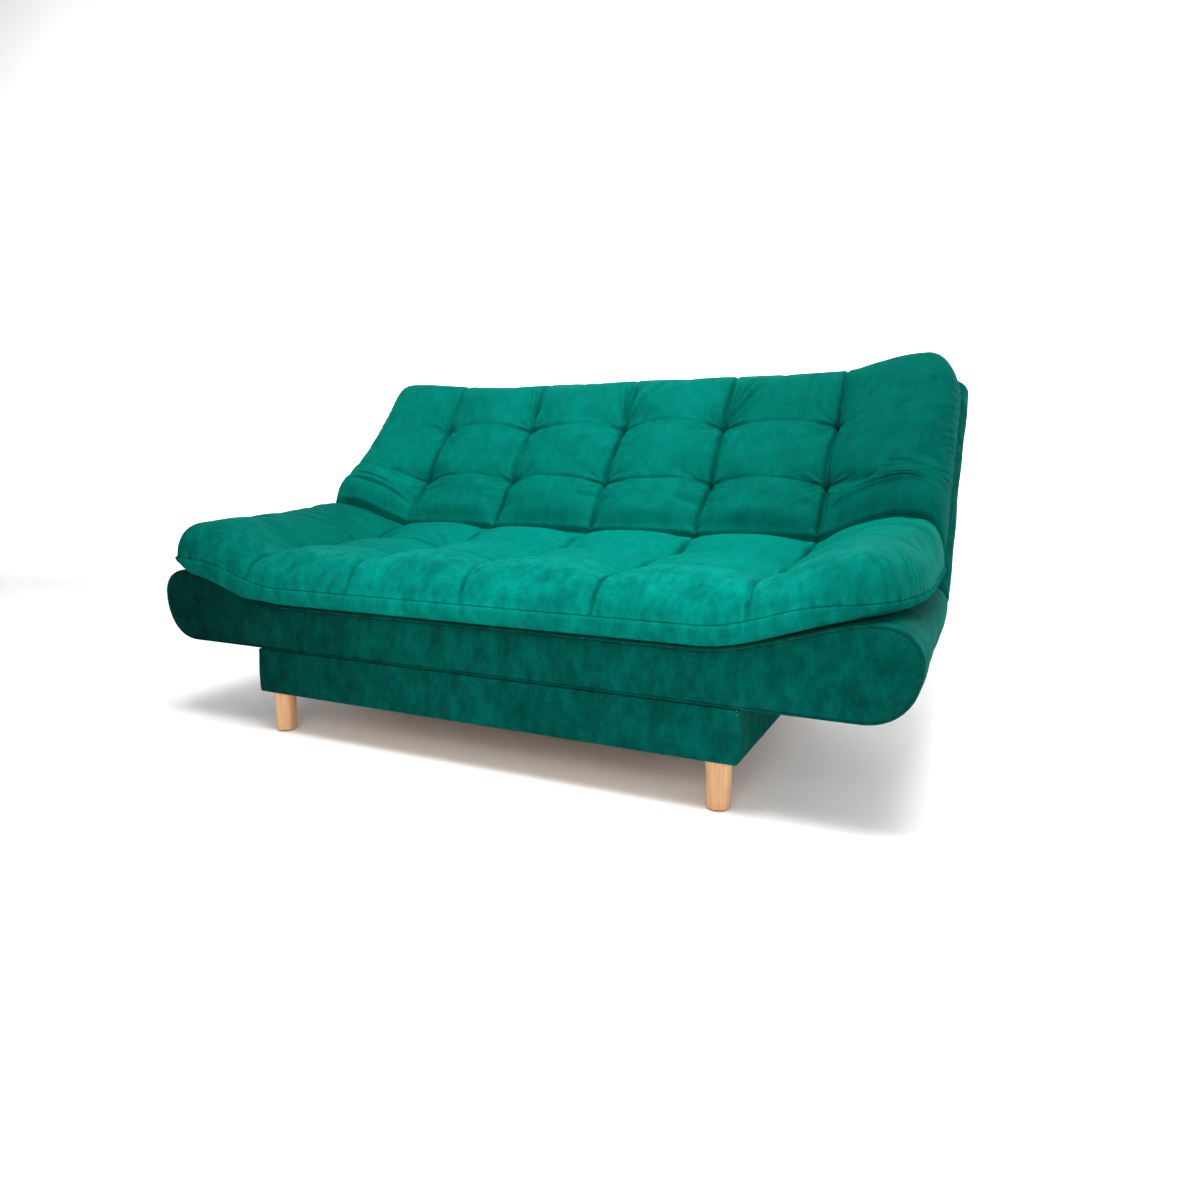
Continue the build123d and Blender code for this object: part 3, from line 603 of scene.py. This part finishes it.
# Per pad: far corner radii (along x, along v) left and right, roll radii at the far edge and ends,
# crown heights in the middle and over the raised ends (hinge side, far side), and how deep the
# quilting pulls. Fans are (column, row, direction in degrees, spread, depth) and folds are
# (x and v where they start, x and v where they end, depth, width, bend).
SEAT_SHAPE = {
    "seed": 3,
    "corner": ((0.075, 0.130), (0.120, 0.300)),
    "roll_far": 0.088, "roll_end": (0.052, 0.085), "roll_hinge": 0.045, "pressed": 0.92,
    "fold_slope": math.tan(CREASE_LEAN),
    "crown": 0.134, "rear_lift": 0.029,
    "end_crown": ((0.222, 0.196), (0.226, 0.198)),
    "hang": FULL_HANG, "edge_notch": 0.006, "line_cut": 0.0100, "tuft_pull": 0.016,
    "column_pull": 0.018, "row_pull": 0.014, "roll_pull": 0.40, "row_line": 0.0030,
    "fans": [(1, 0, 200, 1.3, 0.0070), (0, 0, 150, 1.2, 0.0040), (4, 1, 60, 0.9, 0.0030),
             (2, 1, 70, 0.8, 0.0026)],
    "folds": [
        (0.66, 0.10, 0.90, 0.16, 0.006, 0.012, 0.01),
        (-0.66, 0.10, -0.90, 0.15, 0.006, 0.012, 0.01),
        (0.70, 0.22, 0.90, 0.30, 0.003, 0.010, 0.01),
        (-0.68, 0.27, -0.86, 0.36, 0.003, 0.010, -0.01),
        (-0.66, 0.47, -0.84, 0.53, 0.003, 0.009, -0.01),
        (0.67, 0.47, 0.86, 0.44, 0.003, 0.010, 0.01),
    ],
}
BACK_SHAPE = {
    "seed": 8,
    "corner": ((0.060, 0.090), (0.090, 0.150)),
    "roll_far": 0.090, "roll_end": (0.060, 0.085), "roll_hinge": 0.050, "pressed": 0.85,
    "fold_slope": math.tan(BACK_TURN - CREASE_LEAN),
    "crown": 0.163, "rear_lift": 0.0,
    "end_crown": ((0.226, 0.172), (0.226, 0.216)),
    "hang": 0.0, "edge_notch": 0.003, "line_cut": 0.0030, "tuft_pull": 0.013,
    "column_pull": 0.020, "row_pull": 0.005, "roll_pull": 0.25, "row_line": 0.0012,
    "fans": [(1, 1, 96, 0.60, 0.0240), (2, 1, 78, 1.00, 0.0240), (3, 1, 66, 0.80, 0.0220),
             (4, 1, 110, 0.5, 0.0030), (4, 0, 250, 0.8, 0.0030)],
    "folds": [
        (0.64, 0.085, 0.90, 0.150, 0.012, 0.010, -0.015),
        (0.70, 0.13, 0.92, 0.205, 0.008, 0.009, -0.012),
        (0.72, 0.20, 0.90, 0.260, 0.004, 0.009, -0.012),
        (-0.64, 0.075, -0.88, 0.095, 0.008, 0.010, 0.010),
        (-0.70, 0.12, -0.86, 0.165, 0.004, 0.009, 0.010),
        (-0.68, 0.20, -0.90, 0.280, 0.004, 0.009, 0.012),
    ],
}


def deck_height(x):
    """Height of the deck under the pad: flat in the middle, rising on to the lobes."""
    t = (np.abs(x) - DECK_X) / (LOBE_X - DECK_X)
    return LOBE_RISE * smooth(t)


def seam_height(x):
    """Height of the stitched side seam above the deck, a little lower at the ends."""
    return SEAM_H - SEAM_END_DROP * smooth((np.abs(x) - 0.70) / 0.16)


def edge_roll(rise):
    """Height share of a rounded edge: 0 at the rim, 1 once the roll is over."""
    return (1 - (1 - np.clip(rise, 0, 1)) ** ROLL_POWER) ** 0.5


def plan_map(x, v, shape):
    """Rectangular grid pulled on to the pad's rounded plan.

    Returns the new x and v, how far each point is up its edge roll, its gap to the rim, and
    whether the far edge is nearer than the hinge."""
    x, v = x.copy(), v.copy()
    dx = PAD_HALF - np.abs(x)
    df = PAD_FRONT - v
    dh = v - PAD_BACK
    near_roll, far_roll = shape["roll_end"]
    end_roll = near_roll + (far_roll - near_roll) * smooth((v - 0.05) / 0.35)
    rise = np.minimum(dx / end_roll, df / shape["roll_far"])
    gap = np.minimum(dx, np.minimum(df, dh))
    sides = ((x < 0, shape["corner"][0]), (x >= 0, shape["corner"][1]))
    for side, (rx, rv) in sides:
        inside = side & (dx < rx) & (df < rv)
        p = 1 - dx[inside] / rx
        q = 1 - df[inside] / rv
        reach = np.maximum(p, q)
        safe = np.where(reach > 1e-9, reach, 1.0)
        angle = np.where(p > q, math.pi / 4 * q / safe, math.pi / 2 - math.pi / 4 * p / safe)
        c, s = np.cos(angle), np.sin(angle)
        x[inside] = np.sign(x[inside]) * (PAD_HALF - rx + rx * reach * c)
        v[inside] = PAD_FRONT - rv + rv * reach * s
        radius = np.sqrt((rx * c) ** 2 + (rv * s) ** 2)
        local_roll = end_roll[inside] * c * c + shape["roll_far"] * s * s
        rise[inside] = (1 - reach) * radius / local_roll
        gap[inside] = np.minimum((1 - reach) * radius, dh[inside])
    shoulder = 1 - (1 - np.clip(dh / shape["roll_hinge"], 0, 1)) ** SHOULDER_POWER
    hinge = shape["pressed"] * smooth(dh / 0.005) + (1 - shape["pressed"]) * shoulder
    return x, v, edge_roll(rise) * hinge, gap, df < dh


def seam_valley(distance, width, power=2.3):
    """1 on a seam, falling to 0 at width, with the pillows rounding over on both sides."""
    return (1 - np.clip(distance / width, 0, 1)) ** power


def ridge(distance, width):
    """1 on a line, falling off quickly within about its width."""
    return np.exp(-(distance / width) ** 2)


def nearest(places, lines):
    """Distance from each place to the nearest of the lines."""
    return np.min(np.abs(places[:, None] - lines[None]), axis=1)


def add_seams(depth, x, v, shape):
    """Add the sewn columns and rows of the quilting to depth."""
    seed = shape["seed"]
    over_roll = 1 - (1 - shape["roll_pull"]) * smooth((v - 0.53) / 0.12)
    for column in COLUMNS:
        sway = 0.004 * np.sin(v * 14 + column * 7 + seed)
        off = np.abs(x - column - sway)
        depth += over_roll * shape["column_pull"] * seam_valley(off, COLUMN_VALLEY, 3.2)
        depth += SEAM_LINE * ridge(off, 0.0060) * over_roll
    end_fade = 1 - smooth((np.abs(x) - 0.65) / 0.13)
    near_tuft = ridge(nearest(x, COLUMNS), 0.07)
    for row in ROWS:
        sway = 0.006 * np.sin(x * 9.0 + row * 11 + seed)
        off = np.abs(v - row - sway)
        depth += end_fade * (shape["row_pull"] * seam_valley(off, ROW_VALLEY, 2.8)
                             + (shape["row_line"] + 0.004 * near_tuft) * ridge(off, 0.0052))


def fan_pleats(r, angle, phase, toward, spread, strength):
    """Sharp pleats that fan out from a tuft, in the direction toward (degrees) and over spread."""
    off = (angle - math.radians(toward) + math.pi) % (2 * math.pi) - math.pi
    turn = off * (PLEAT_TURNS * math.pi / spread) * (1 + 0.25 * np.sin(3 * off + phase)) + phase
    pleat = (0.5 + 0.5 * np.cos(turn)) ** 2 - 0.35
    window = np.exp(-(off / (spread * 0.52)) ** 4)
    length = smooth((r - 0.012) / 0.04) * (1 - smooth((r - 0.11) / 0.09))
    return strength * pleat * window * length


def add_tuft(depth, dx, dv, shape, random, fans):
    """Add one tuft to depth: its dimple, its button hole, short wrinkles round it and its fans."""
    pull = shape["tuft_pull"] * (0.9 + 0.3 * random.rand())
    reach = 0.115 + 0.015 * random.rand()
    r = np.sqrt(dx * dx + dv * dv) + 1e-6
    depth += pull * (1 - np.clip(r / reach, 0, 1)) ** 3.0 + 0.007 * ridge(r, 0.011)
    angle = np.arctan2(dv, dx)
    count = random.randint(8, 13)
    phase = random.rand() * FULL_TURN
    ray = np.cos(count * angle + phase + 0.8 * np.sin(2 * angle + phase))
    depth += WRINKLE_DEPTH * (0.4 + random.rand()) * ray * ridge(r - 0.036, 0.024)
    for toward, spread, strength in fans:
        depth += fan_pleats(r, angle, phase, toward, spread, strength)


def tufting(x, v, shape, pleats=True):
    """How far the quilting pulls the top surface down, with or without its fanned pleats."""
    random = np.random.RandomState(shape["seed"])
    depth = np.zeros_like(x)
    add_seams(depth, x, v, shape)
    for i, column in enumerate(COLUMNS):
        for j, row in enumerate(ROWS):
            fans = [fan[2:] for fan in shape["fans"] if pleats and fan[:2] == (i, j)]
            add_tuft(depth, x - column, v - row, shape, random, fans)
    return depth


def pillow_variation(x, v, seed):
    """Each pillow is stuffed a little differently, and the top is never quite even."""
    random = np.random.RandomState(seed + 50)
    out = np.zeros_like(x)
    edges_x = np.concatenate([[-PAD_HALF], COLUMNS, [PAD_HALF]])
    edges_v = np.concatenate([[PAD_BACK], ROWS, [PAD_FRONT]])
    for i in range(len(edges_x) - 1):
        for j in range(len(edges_v) - 1):
            cx = (edges_x[i] + edges_x[i + 1]) / 2 + 0.03 * (random.rand() - 0.5)
            cv = (edges_v[j] + edges_v[j + 1]) / 2 + 0.03 * (random.rand() - 0.5)
            lift = PILLOW_LIFT * (random.rand() - 0.45)
            out += lift * np.exp(-((x - cx) / 0.10) ** 2 - ((v - cv) / 0.075) ** 2)
    for _ in range(RIPPLES):
        kx, kv = random.randn(2) * (14, 22)
        out += RIPPLE_H * np.sin(kx * x + kv * v + random.rand() * FULL_TURN)
    return out


def fold_lines(x, v, lines):
    """Long soft creases: each runs from one plan point to another with a given depth and width."""
    out = np.zeros_like(x)
    for x0, v0, x1, v1, depth, width, bend in lines:
        ax, av = x1 - x0, v1 - v0
        length = math.hypot(ax, av)
        t = ((x - x0) * ax + (v - v0) * av) / length ** 2
        straight = ((x - x0) * av - (v - v0) * ax) / length
        across = straight - bend * np.sin(math.pi * np.clip(t, 0, 1))
        window = smooth(t / 0.25) * (1 - smooth((t - 0.7) / 0.35))
        crease = ridge(across, width) - 0.55 * ridge(across - 1.8 * width, 1.3 * width)
        out += depth * crease * window
    return out


def crown_height(x, v, shape):
    """Height of the filled pad above the deck plane before quilting."""
    raised = smooth((np.abs(x) - 0.62) / 0.23)
    along = smooth((v - 0.10) / 0.52)
    (left_near, left_far), (right_near, right_far) = shape["end_crown"]
    left = left_near + (left_far - left_near) * along
    right = right_near + (right_far - right_near) * along
    ends = np.where(x < 0, left, right)
    middle = shape["crown"] - FAR_DROP * smooth((v - 0.50) / 0.19)
    middle = middle + shape["rear_lift"] * (1 - smooth((v - 0.07) / 0.19))
    return middle + (ends - middle) * raised


def faded(detail, gap, roll):
    """Detail of the top, fading out beside the rim and down the edge roll."""
    return detail * smooth(gap / 0.040 + 0.15) * np.clip(roll * 1.3, 0, 1)


def cover_cloth(start, faces, held):
    """The cover as a cloth object, held at its stitches and blown up by the filling."""
    mesh = bpy.data.meshes.new("cover_cloth")
    mesh.from_pydata([tuple(p) for p in start], [], faces)
    cover = bpy.data.objects.new("cover_cloth", mesh)
    bpy.context.collection.objects.link(cover)
    pins = cover.vertex_groups.new(name="held")
    pins.add([int(i) for i in np.flatnonzero(held)], 1.0, "REPLACE")
    cloth = cover.modifiers.new("cloth", "CLOTH")
    cloth.settings.quality = 5
    cloth.settings.tension_stiffness = 15
    cloth.settings.compression_stiffness = 15
    cloth.settings.shear_stiffness = 5
    cloth.settings.bending_stiffness = 0.5
    cloth.settings.vertex_group_mass = "held"
    cloth.settings.use_pressure = True
    cloth.settings.uniform_pressure_force = 4.0
    cloth.settings.shrink_min = -CLOTH_SURPLUS
    cloth.settings.effector_weights.gravity = 0.0
    cloth.collision_settings.use_collision = False
    cloth.point_cache.frame_end = CLOTH_FRAMES
    return cover


def simulated_move(cover, start):
    """Run the cloth, remove it, and return how far each of its points moved, up to the cap."""
    for frame_number in range(1, CLOTH_FRAMES + 1):
        bpy.context.scene.frame_set(frame_number)
    apply_modifiers(cover)
    moved = np.empty(len(cover.data.vertices) * 3)
    cover.data.vertices.foreach_get("co", moved)
    bpy.data.objects.remove(cover)
    bpy.context.scene.frame_set(1)
    move = moved.reshape(-1, 3) - start
    length = np.linalg.norm(move, axis=1)
    return move * (np.minimum(length, CLOTH_CAP) / np.maximum(length, 1e-9))[:, None]


def refined(field, cx, cv, xs, vs):
    """A field on the cloth's grid, spread on to the pad's finer grid and softened."""
    across = np.array([np.interp(xs, cx, row) for row in field])
    field = np.array([np.interp(vs, cv, row) for row in across.T]).T
    for _ in range(CLOTH_SOFTENING):
        field[1:-1] = (field[:-2] + 2 * field[1:-1] + field[2:]) / 4
        field[:, 1:-1] = (field[:, :-2] + 2 * field[:, 1:-1] + field[:, 2:]) / 4
    return field.ravel()


def swollen_cover(shape, xs, vs):
    """Movement of the pad's top, from a cloth simulation blown up by the filling.

    The cover is cut a little too large and is held at its rim, column seams and tufts, so it
    bulges between them and wrinkles towards them. Returned for every point of the grid xs by vs."""
    cx = np.linspace(-PAD_HALF, PAD_HALF, round(2 * PAD_HALF / CLOTH_STEP))
    cv = np.linspace(PAD_BACK, PAD_FRONT, round((PAD_FRONT - PAD_BACK) / CLOTH_STEP))
    gx, gv = np.meshgrid(cx, cv)
    x, v, roll, gap, _ = plan_map(gx.ravel(), gv.ravel(), shape)
    seam = deck_height(x) + seam_height(x)
    pulled = faded(tufting(x, v, shape, pleats=False), gap, roll)
    start = np.stack([x, v, seam + (crown_height(x, v, shape) - seam) * roll - pulled], axis=1)
    to_column, to_row = nearest(x, COLUMNS), nearest(v, ROWS)
    held = (gap < 0.004) | (to_column < 0.0065) | (np.hypot(to_column, to_row) < 0.018)
    cover = cover_cloth(start, grid_faces(len(cv), len(cx)), held)
    move = simulated_move(cover, start).reshape(len(cv), len(cx), 3)
    out = np.stack([refined(move[:, :, axis], cx, cv, xs, vs) for axis in range(3)], axis=1)
    fx, _ = np.meshgrid(xs, vs)
    out[:, 2] -= CLOTH_START * smooth(nearest(fx.ravel(), COLUMNS) / 0.06)
    return out


def rim_gathers(x, v, gap):
    """Depth of the uneven gathers sewn in along the rim at the raised ends."""
    along = np.abs(x) - v
    turn = along * 2 * math.pi / GATHER_PITCH + 2.0 * np.sin(along * 23)
    gathers = np.maximum(0, np.sin(turn)) ** 2
    reach = 0.026 + 0.012 * np.sin(along * 61)
    band = smooth(gap / 0.004) * np.exp(-(gap / reach) ** 2)
    cornered = smooth((np.abs(x) - 0.78) / 0.08) * (1 - 0.6 * smooth((0.25 - v) / 0.2))
    uneven = 0.25 + 0.75 * np.sin(along * 19 + 0.7) ** 2
    return GATHER_DEPTH * gathers * band * cornered * uneven


def edge_cut(x, gap, at_far, shape):
    """How far each column seam notches the rolled far edge inwards."""
    cut = np.zeros_like(x)
    for column in COLUMNS:
        cut += shape["edge_notch"] * seam_valley(np.abs(x - column), 0.045)
        cut += shape["line_cut"] * ridge(x - column, 0.0045)
    near_edge = (1 - smooth(gap / 0.06)) * smooth(gap / 0.004)
    return cut * near_edge * np.where(at_far, 1.0, 0.0)


def pad_top(shape, xs, vs):
    """Points of the quilted top, for every point of the grid xs by vs."""
    gx, gv = np.meshgrid(xs, vs)
    x, v, roll, gap, at_far = plan_map(gx.ravel(), gv.ravel(), shape)
    detail = tufting(x, v, shape) - pillow_variation(x, v, shape["seed"])
    detail = detail + fold_lines(x, v, shape["folds"])
    seam = deck_height(x) + seam_height(x)
    top = seam + (crown_height(x, v, shape) - seam) * roll - faded(detail, gap, roll)
    swell = swollen_cover(shape, xs, vs) * smooth(gap / 0.030)[:, None]
    x = x + swell[:, 0]
    v = v + swell[:, 1]
    top = top + swell[:, 2] - rim_gathers(x, v, gap)
    return np.stack([x, v - edge_cut(x, gap, at_far, shape), top], axis=1)


def painted_seam_shade(xs, vs):
    """Painted shade on the top: darker in the seams and round the tufts, where they sink in and the pile is
    crushed.
    """
    gx, gv = np.meshgrid(xs, vs)
    gx, gv = gx.ravel(), gv.ravel()
    to_column, to_row = nearest(gx, COLUMNS), nearest(gv, ROWS)
    row_reach = ridge(to_column, 0.05) * (1 - smooth((np.abs(gx) - 0.65) / 0.10))
    shade = 1 - 0.42 * ridge(to_column, 0.0042)
    shade *= 1 - (0.05 + 0.25 * row_reach) * ridge(to_row, 0.0055) * (np.abs(gx) < 0.75)
    shade *= 1 - 0.30 * ridge(np.hypot(to_column, to_row), 0.014)
    return shade


def side_band(rim, shape):
    """Levels of the band between the stitched seam and the deck, downwards, each a ring of points."""
    ahead = np.roll(rim, -2, axis=0) - np.roll(rim, 2, axis=0)
    normal = np.stack([ahead[:, 1], -ahead[:, 0]], axis=1)
    normal /= np.linalg.norm(normal, axis=1)[:, None]
    span = np.cumsum(np.linalg.norm(np.diff(rim, axis=0, append=rim[:1]), axis=1))
    at_end = smooth((np.abs(rim[:, 0]) - 0.72) / 0.16)
    at_hinge = 1 - smooth((rim[:, 1] - PAD_BACK) / 0.03)
    far = smooth((rim[:, 1] - PAD_FRONT + 0.10) / 0.08)
    hang = shape["hang"] * far * smooth((-rim[:, 0] - 0.58) / 0.10)
    hang = hang * (1 - smooth((-rim[:, 0] - 0.84) / 0.07))
    inset = (0.010 + 0.024 * at_end + 0.021 * at_hinge * (1 - at_end)) * (1 - 0.8 * hang / FULL_HANG)
    waves = (np.sin(span * 2 * math.pi / 0.021 + 2.5 * np.sin(span * 17))
             + 0.6 * np.sin(span * 2 * math.pi / 0.047 + 1.3))
    pucker = (0.0009 + 0.0022 * at_end) * waves
    deck, seam = deck_height(rim[:, 0]), seam_height(rim[:, 0])
    rings = []
    for share, out, amount in BAND_LEVELS:
        offset = out - inset * share ** 2 + pucker * amount
        height = deck + seam * (1 - share) + BAND_CLEAR - hang * share ** 2
        rings.append(np.stack([rim[:, 0] + normal[:, 0] * offset,
                               rim[:, 1] + normal[:, 1] * offset, height], axis=1))
    return rings


def rim_ring(nx, nv):
    """Numbers of a grid's outer points, once round."""
    ring = list(range(nx))
    ring += [nx * j + nx - 1 for j in range(1, nv)]
    ring += [nx * (nv - 1) + i for i in range(nx - 2, -1, -1)]
    ring += [nx * j for j in range(nv - 2, 0, -1)]
    return ring


def pad_mesh(shape):
    """Module points, faces and painted seam shade of one pad: quilted top, side band and flat underside."""
    xs = stations(-PAD_HALF, PAD_HALF, PAD_COARSE, PAD_FINE, 0.020, COLUMNS)
    vs = stations(PAD_BACK, PAD_FRONT, PAD_COARSE, PAD_FINE, 0.020, ROWS)
    nx, nv = len(xs), len(vs)
    top = pad_top(shape, xs, vs)
    faces = grid_faces(nv, nx)
    ring = rim_ring(nx, nv)
    band = side_band(top[ring], shape)
    count = len(ring)
    previous = ring
    for k in range(len(band)):
        current = list(range(len(top) + k * count, len(top) + (k + 1) * count))
        for i in range(count):
            j = (i + 1) % count
            faces.append((previous[i], previous[j], current[j], current[i]))
        previous = current
    points = np.concatenate([top] + band)

    inner = np.ones((nv, nx), dtype=bool)
    inner[0, :] = inner[-1, :] = inner[:, 0] = inner[:, -1] = False
    chosen = np.flatnonzero(inner.ravel())
    index = -np.ones(nx * nv, dtype=int)
    index[chosen] = len(points) + np.arange(len(chosen))
    index[np.array(ring)] = np.array(previous)
    middle_v = (PAD_BACK + PAD_FRONT) / 2
    under_x = top[chosen, 0] * (PAD_HALF - UNDER_INSET) / PAD_HALF
    under_v = middle_v + (top[chosen, 1] - middle_v) * (1 - UNDER_SHRINK)
    under = np.stack([under_x, under_v, deck_height(under_x) + UNDER_CLEAR], axis=1)
    points = np.concatenate([points, under])
    for quad in grid_faces(nv, nx):
        faces.append(tuple(int(index[q]) for q in quad[::-1]))
    # Painted shade in the seams and tufts of the top; the band and underside get none.
    shade = painted_seam_shade(xs, vs)
    return points, faces, np.concatenate([shade, np.ones(len(points) - len(shade))])


def lean_fold(points, slope):
    """Slope the hinge end of a pad so that the two pads meet face to face at rest."""
    out = points.copy()
    share = 1 - smooth((points[:, 1] - PAD_BACK) / FOLD_FADE)
    out[:, 1] += slope * np.clip(points[:, 2], 0, None) * share
    return out


def build_pad(prefix, place, shape):
    """One quilted velvet pad."""
    points, faces, shade = pad_mesh(shape)
    folded = place(lean_fold(points, shape["fold_slope"]))
    pad = make_object(prefix + "_pad_velvet", folded, faces, MATERIALS[prefix + "_pad"], shade=shade)
    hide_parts(prefix + "_pad")
    return pad


# ------------ base

BASE_CORNER_R = 0.006
BASE_STEP = 0.012
BASE_H = BASE_HIGH[2] - BASE_LOW[2]

# Section of the base's velvet as (outwards, height): turned under at the foot, rolled over the top
# edge, down inside, and back up and out again on its hidden face.
BASE_FOOT = [(-0.004, 0.0), (-0.0012, -0.0004), (0.0, 0.003)]
BASE_BULGE = 0.0018
BASE_RIM = [(0.0002, BASE_H - 0.0040), (-0.0004, BASE_H - 0.0012), (-0.0022, BASE_H + 0.0004),
            (-0.0060, BASE_H + 0.0009), (-0.0195, BASE_H + 0.0009), (-0.0211, BASE_H + 0.0003),
            (-0.0215, BASE_H - 0.0015), (-0.0215, BASE_H - 0.0300)]
BASE_LINING = [(-0.0206, BASE_H - 0.0300), (-0.0203, BASE_H - 0.0010), (-0.0190, BASE_H + 0.0002),
               (-0.0040, BASE_H + 0.0002), (-0.0019, BASE_H - 0.0020), (-0.0017, 0.0030)]


def base_outline():
    """Evenly spaced points round the base's rounded rectangle, and the outward normal at each."""
    x1 = BASE_HIGH[0] - BASE_CORNER_R
    y0, y1 = BASE_LOW[1] + BASE_CORNER_R, BASE_HIGH[1] - BASE_CORNER_R
    path = []
    normals = []
    for cx, cy, first in ((x1, y0, -90), (x1, y1, 0), (-x1, y1, 90), (-x1, y0, 180)):
        for angle in np.radians(np.linspace(first, first + 90, 7)):
            normal = np.array((math.cos(angle), math.sin(angle)))
            path.append((cx, cy) + BASE_CORNER_R * normal)
            normals.append(normal)
    points, directions = [], []
    for i in range(len(path)):
        j = (i + 1) % len(path)
        steps = max(1, int(np.linalg.norm(path[j] - path[i]) / BASE_STEP))
        for t in np.arange(steps) / steps:
            points.append(path[i] * (1 - t) + path[j] * t)
            directions.append(normals[i] * (1 - t) + normals[j] * t)
    return np.array(points), np.array(directions)


def base_ring(flat, height):
    """A ring of the base's section, lifted to its height above the foot."""
    return np.column_stack([flat, np.full(len(flat), BASE_LOW[2] + height)])


def base_skin():
    """Velvet wrap of the storage base: four soft faces with rounded corners and a rolled top edge."""
    outline, normals = base_outline()
    length = np.cumsum(np.linalg.norm(np.diff(outline, axis=0, append=outline[:1]), axis=1))
    sides = []
    for h in np.linspace(0.008, BASE_H - 0.008, 12):
        sides.append((BASE_BULGE * math.sin(math.pi * (h / BASE_H)), h))
    rings = []
    for out, h in BASE_FOOT + sides + BASE_RIM:
        ripple = 0.0006 * np.sin(length * 31 + h * 40) + 0.0005 * np.sin(length * 12.7 - h * 25 + 1.0)
        on_face = 0.004 < h < BASE_H - 0.005 and out > -0.0002
        rings.append(base_ring(outline + normals * (out + ripple * on_face)[:, None], h))
    for out, h in BASE_LINING:
        rings.append(base_ring(outline + normals * out, h))
    cols = len(outline)
    faces = grid_faces(len(rings), cols, close=True)
    last = (len(rings) - 1) * cols
    for i in range(cols):
        j = (i + 1) % cols
        faces.append((last + i, last + j, j, i))
    return make_object("base_velvet", np.concatenate(rings), faces, MATERIALS["base"])


# ------------ build


def build_sofa():
    """Every piece of velvet: two frames, two pads and the base."""
    build_frame("seat", seat_place)
    build_frame("back", back_place)
    pads = [build_pad("seat", seat_place, SEAT_SHAPE), build_pad("back", back_place, BACK_SHAPE)]
    for pad in pads:
        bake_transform(pad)
    base = base_skin()
    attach(base, "base")
    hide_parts("base_cover")


# ------------ stage, light and camera

# The studio floor runs back, curves up in a quarter turn and ends as a wall.
SWEEP_FRONT = -9.0
SWEEP_REAR = 3.2
SWEEP_R = 2.2
SWEEP_HEIGHT = 9.0
SWEEP_HALF = 14.0

# Name, place, what it is aimed at, size and power of each light.
LIGHTS = (
    ("top", (0.5, -0.75, 3.4), (0.1, 0.0, 0.3), (2.4, 1.6), 160),
    ("right", (3.2, -1.6, 1.5), (0.6, -0.2, 0.3), (1.2, 1.2), 12),
    ("front", (1.3, -3.6, 1.9), (0.2, 0.0, 0.3), (2.0, 1.6), 48),
    ("backdrop", (-3.0, 2.7, 3.6), (-4.0, 6.0, 2.2), (18.0, 1.5), 900),
)
WORLD_LIGHT = 0.36

# The camera: focal length as a share of the sensor's width, place from the middle of the sofa's
# front edge, and the two angles it is turned by, in degrees.
SENSOR = 36.0
FOCAL_SHARE = 832.1 / 1200
CAMERA_X, CAMERA_AHEAD, CAMERA_Z = 1.046, 1.488, 0.682
CAMERA_YAW, CAMERA_PITCH = 25.37, 8.734
CAMERA_SHIFT = (-0.0018, -0.0083)


def stage():
    """Pale seamless studio sweep."""
    profile = [(y, 0.0) for y in np.linspace(SWEEP_FRONT, SWEEP_REAR, 5)]
    for angle in np.linspace(0, math.pi / 2, 14)[1:]:
        profile.append((SWEEP_REAR + SWEEP_R * math.sin(angle), SWEEP_R - SWEEP_R * math.cos(angle)))
    profile.append((SWEEP_REAR + SWEEP_R, SWEEP_HEIGHT))
    points = np.array([(x, y, z) for y, z in profile for x in (-SWEEP_HALF, SWEEP_HALF)])
    n = Nodes("studio_sweep")
    n.link(n.ramp(n.noise(0.8), [(0.3, (0.93, 0.93, 0.93)), (0.7, (0.95, 0.95, 0.95))]),
           n.shader.inputs["Base Color"])
    n.set(Roughness=0.9, Specular_IOR_Level=0.1)
    sweep = make_object("studio_floor", points, grid_faces(len(profile), 2), n.material)


def area_light(name, place, target, size, power):
    """Rectangular light at a place, aimed at a target."""
    light = bpy.data.lights.new(name, "AREA")
    light.shape = "RECTANGLE"
    light.size, light.size_y = size
    light.energy = power
    obj = bpy.data.objects.new(name, light)
    obj.location = place
    aim = Vector(target) - Vector(place)
    obj.rotation_euler = aim.to_track_quat("-Z", "Y").to_euler()
    bpy.context.collection.objects.link(obj)


def world_light():
    """Even white light from all round, and plain colours in the render."""
    world = bpy.data.worlds.new("studio_world")
    world.use_nodes = True
    background = world.node_tree.nodes["Background"]
    background.inputs["Color"].default_value = (1.0, 1.0, 1.0, 1.0)
    background.inputs["Strength"].default_value = WORLD_LIGHT
    bpy.context.scene.world = world
    bpy.context.scene.view_settings.view_transform = "Standard"


def camera():
    """Camera at the photograph's angle; the shift is the small offset of its framing."""
    data = bpy.data.cameras.new("photo_camera")
    data.sensor_width = SENSOR
    data.lens = SENSOR * FOCAL_SHARE
    data.shift_x, data.shift_y = CAMERA_SHIFT
    obj = bpy.data.objects.new("photo_camera", data)
    obj.location = (CAMERA_X, FRAME_LOW[1] - CAMERA_AHEAD, CAMERA_Z)
    obj.rotation_euler = (math.pi / 2 - math.radians(CAMERA_PITCH), 0.0, math.radians(CAMERA_YAW))
    bpy.context.collection.objects.link(obj)
    bpy.context.scene.camera = obj


dress_cad_nodes()
build_sofa()
stage()
for light in LIGHTS:
    area_light(*light)
world_light()
camera()
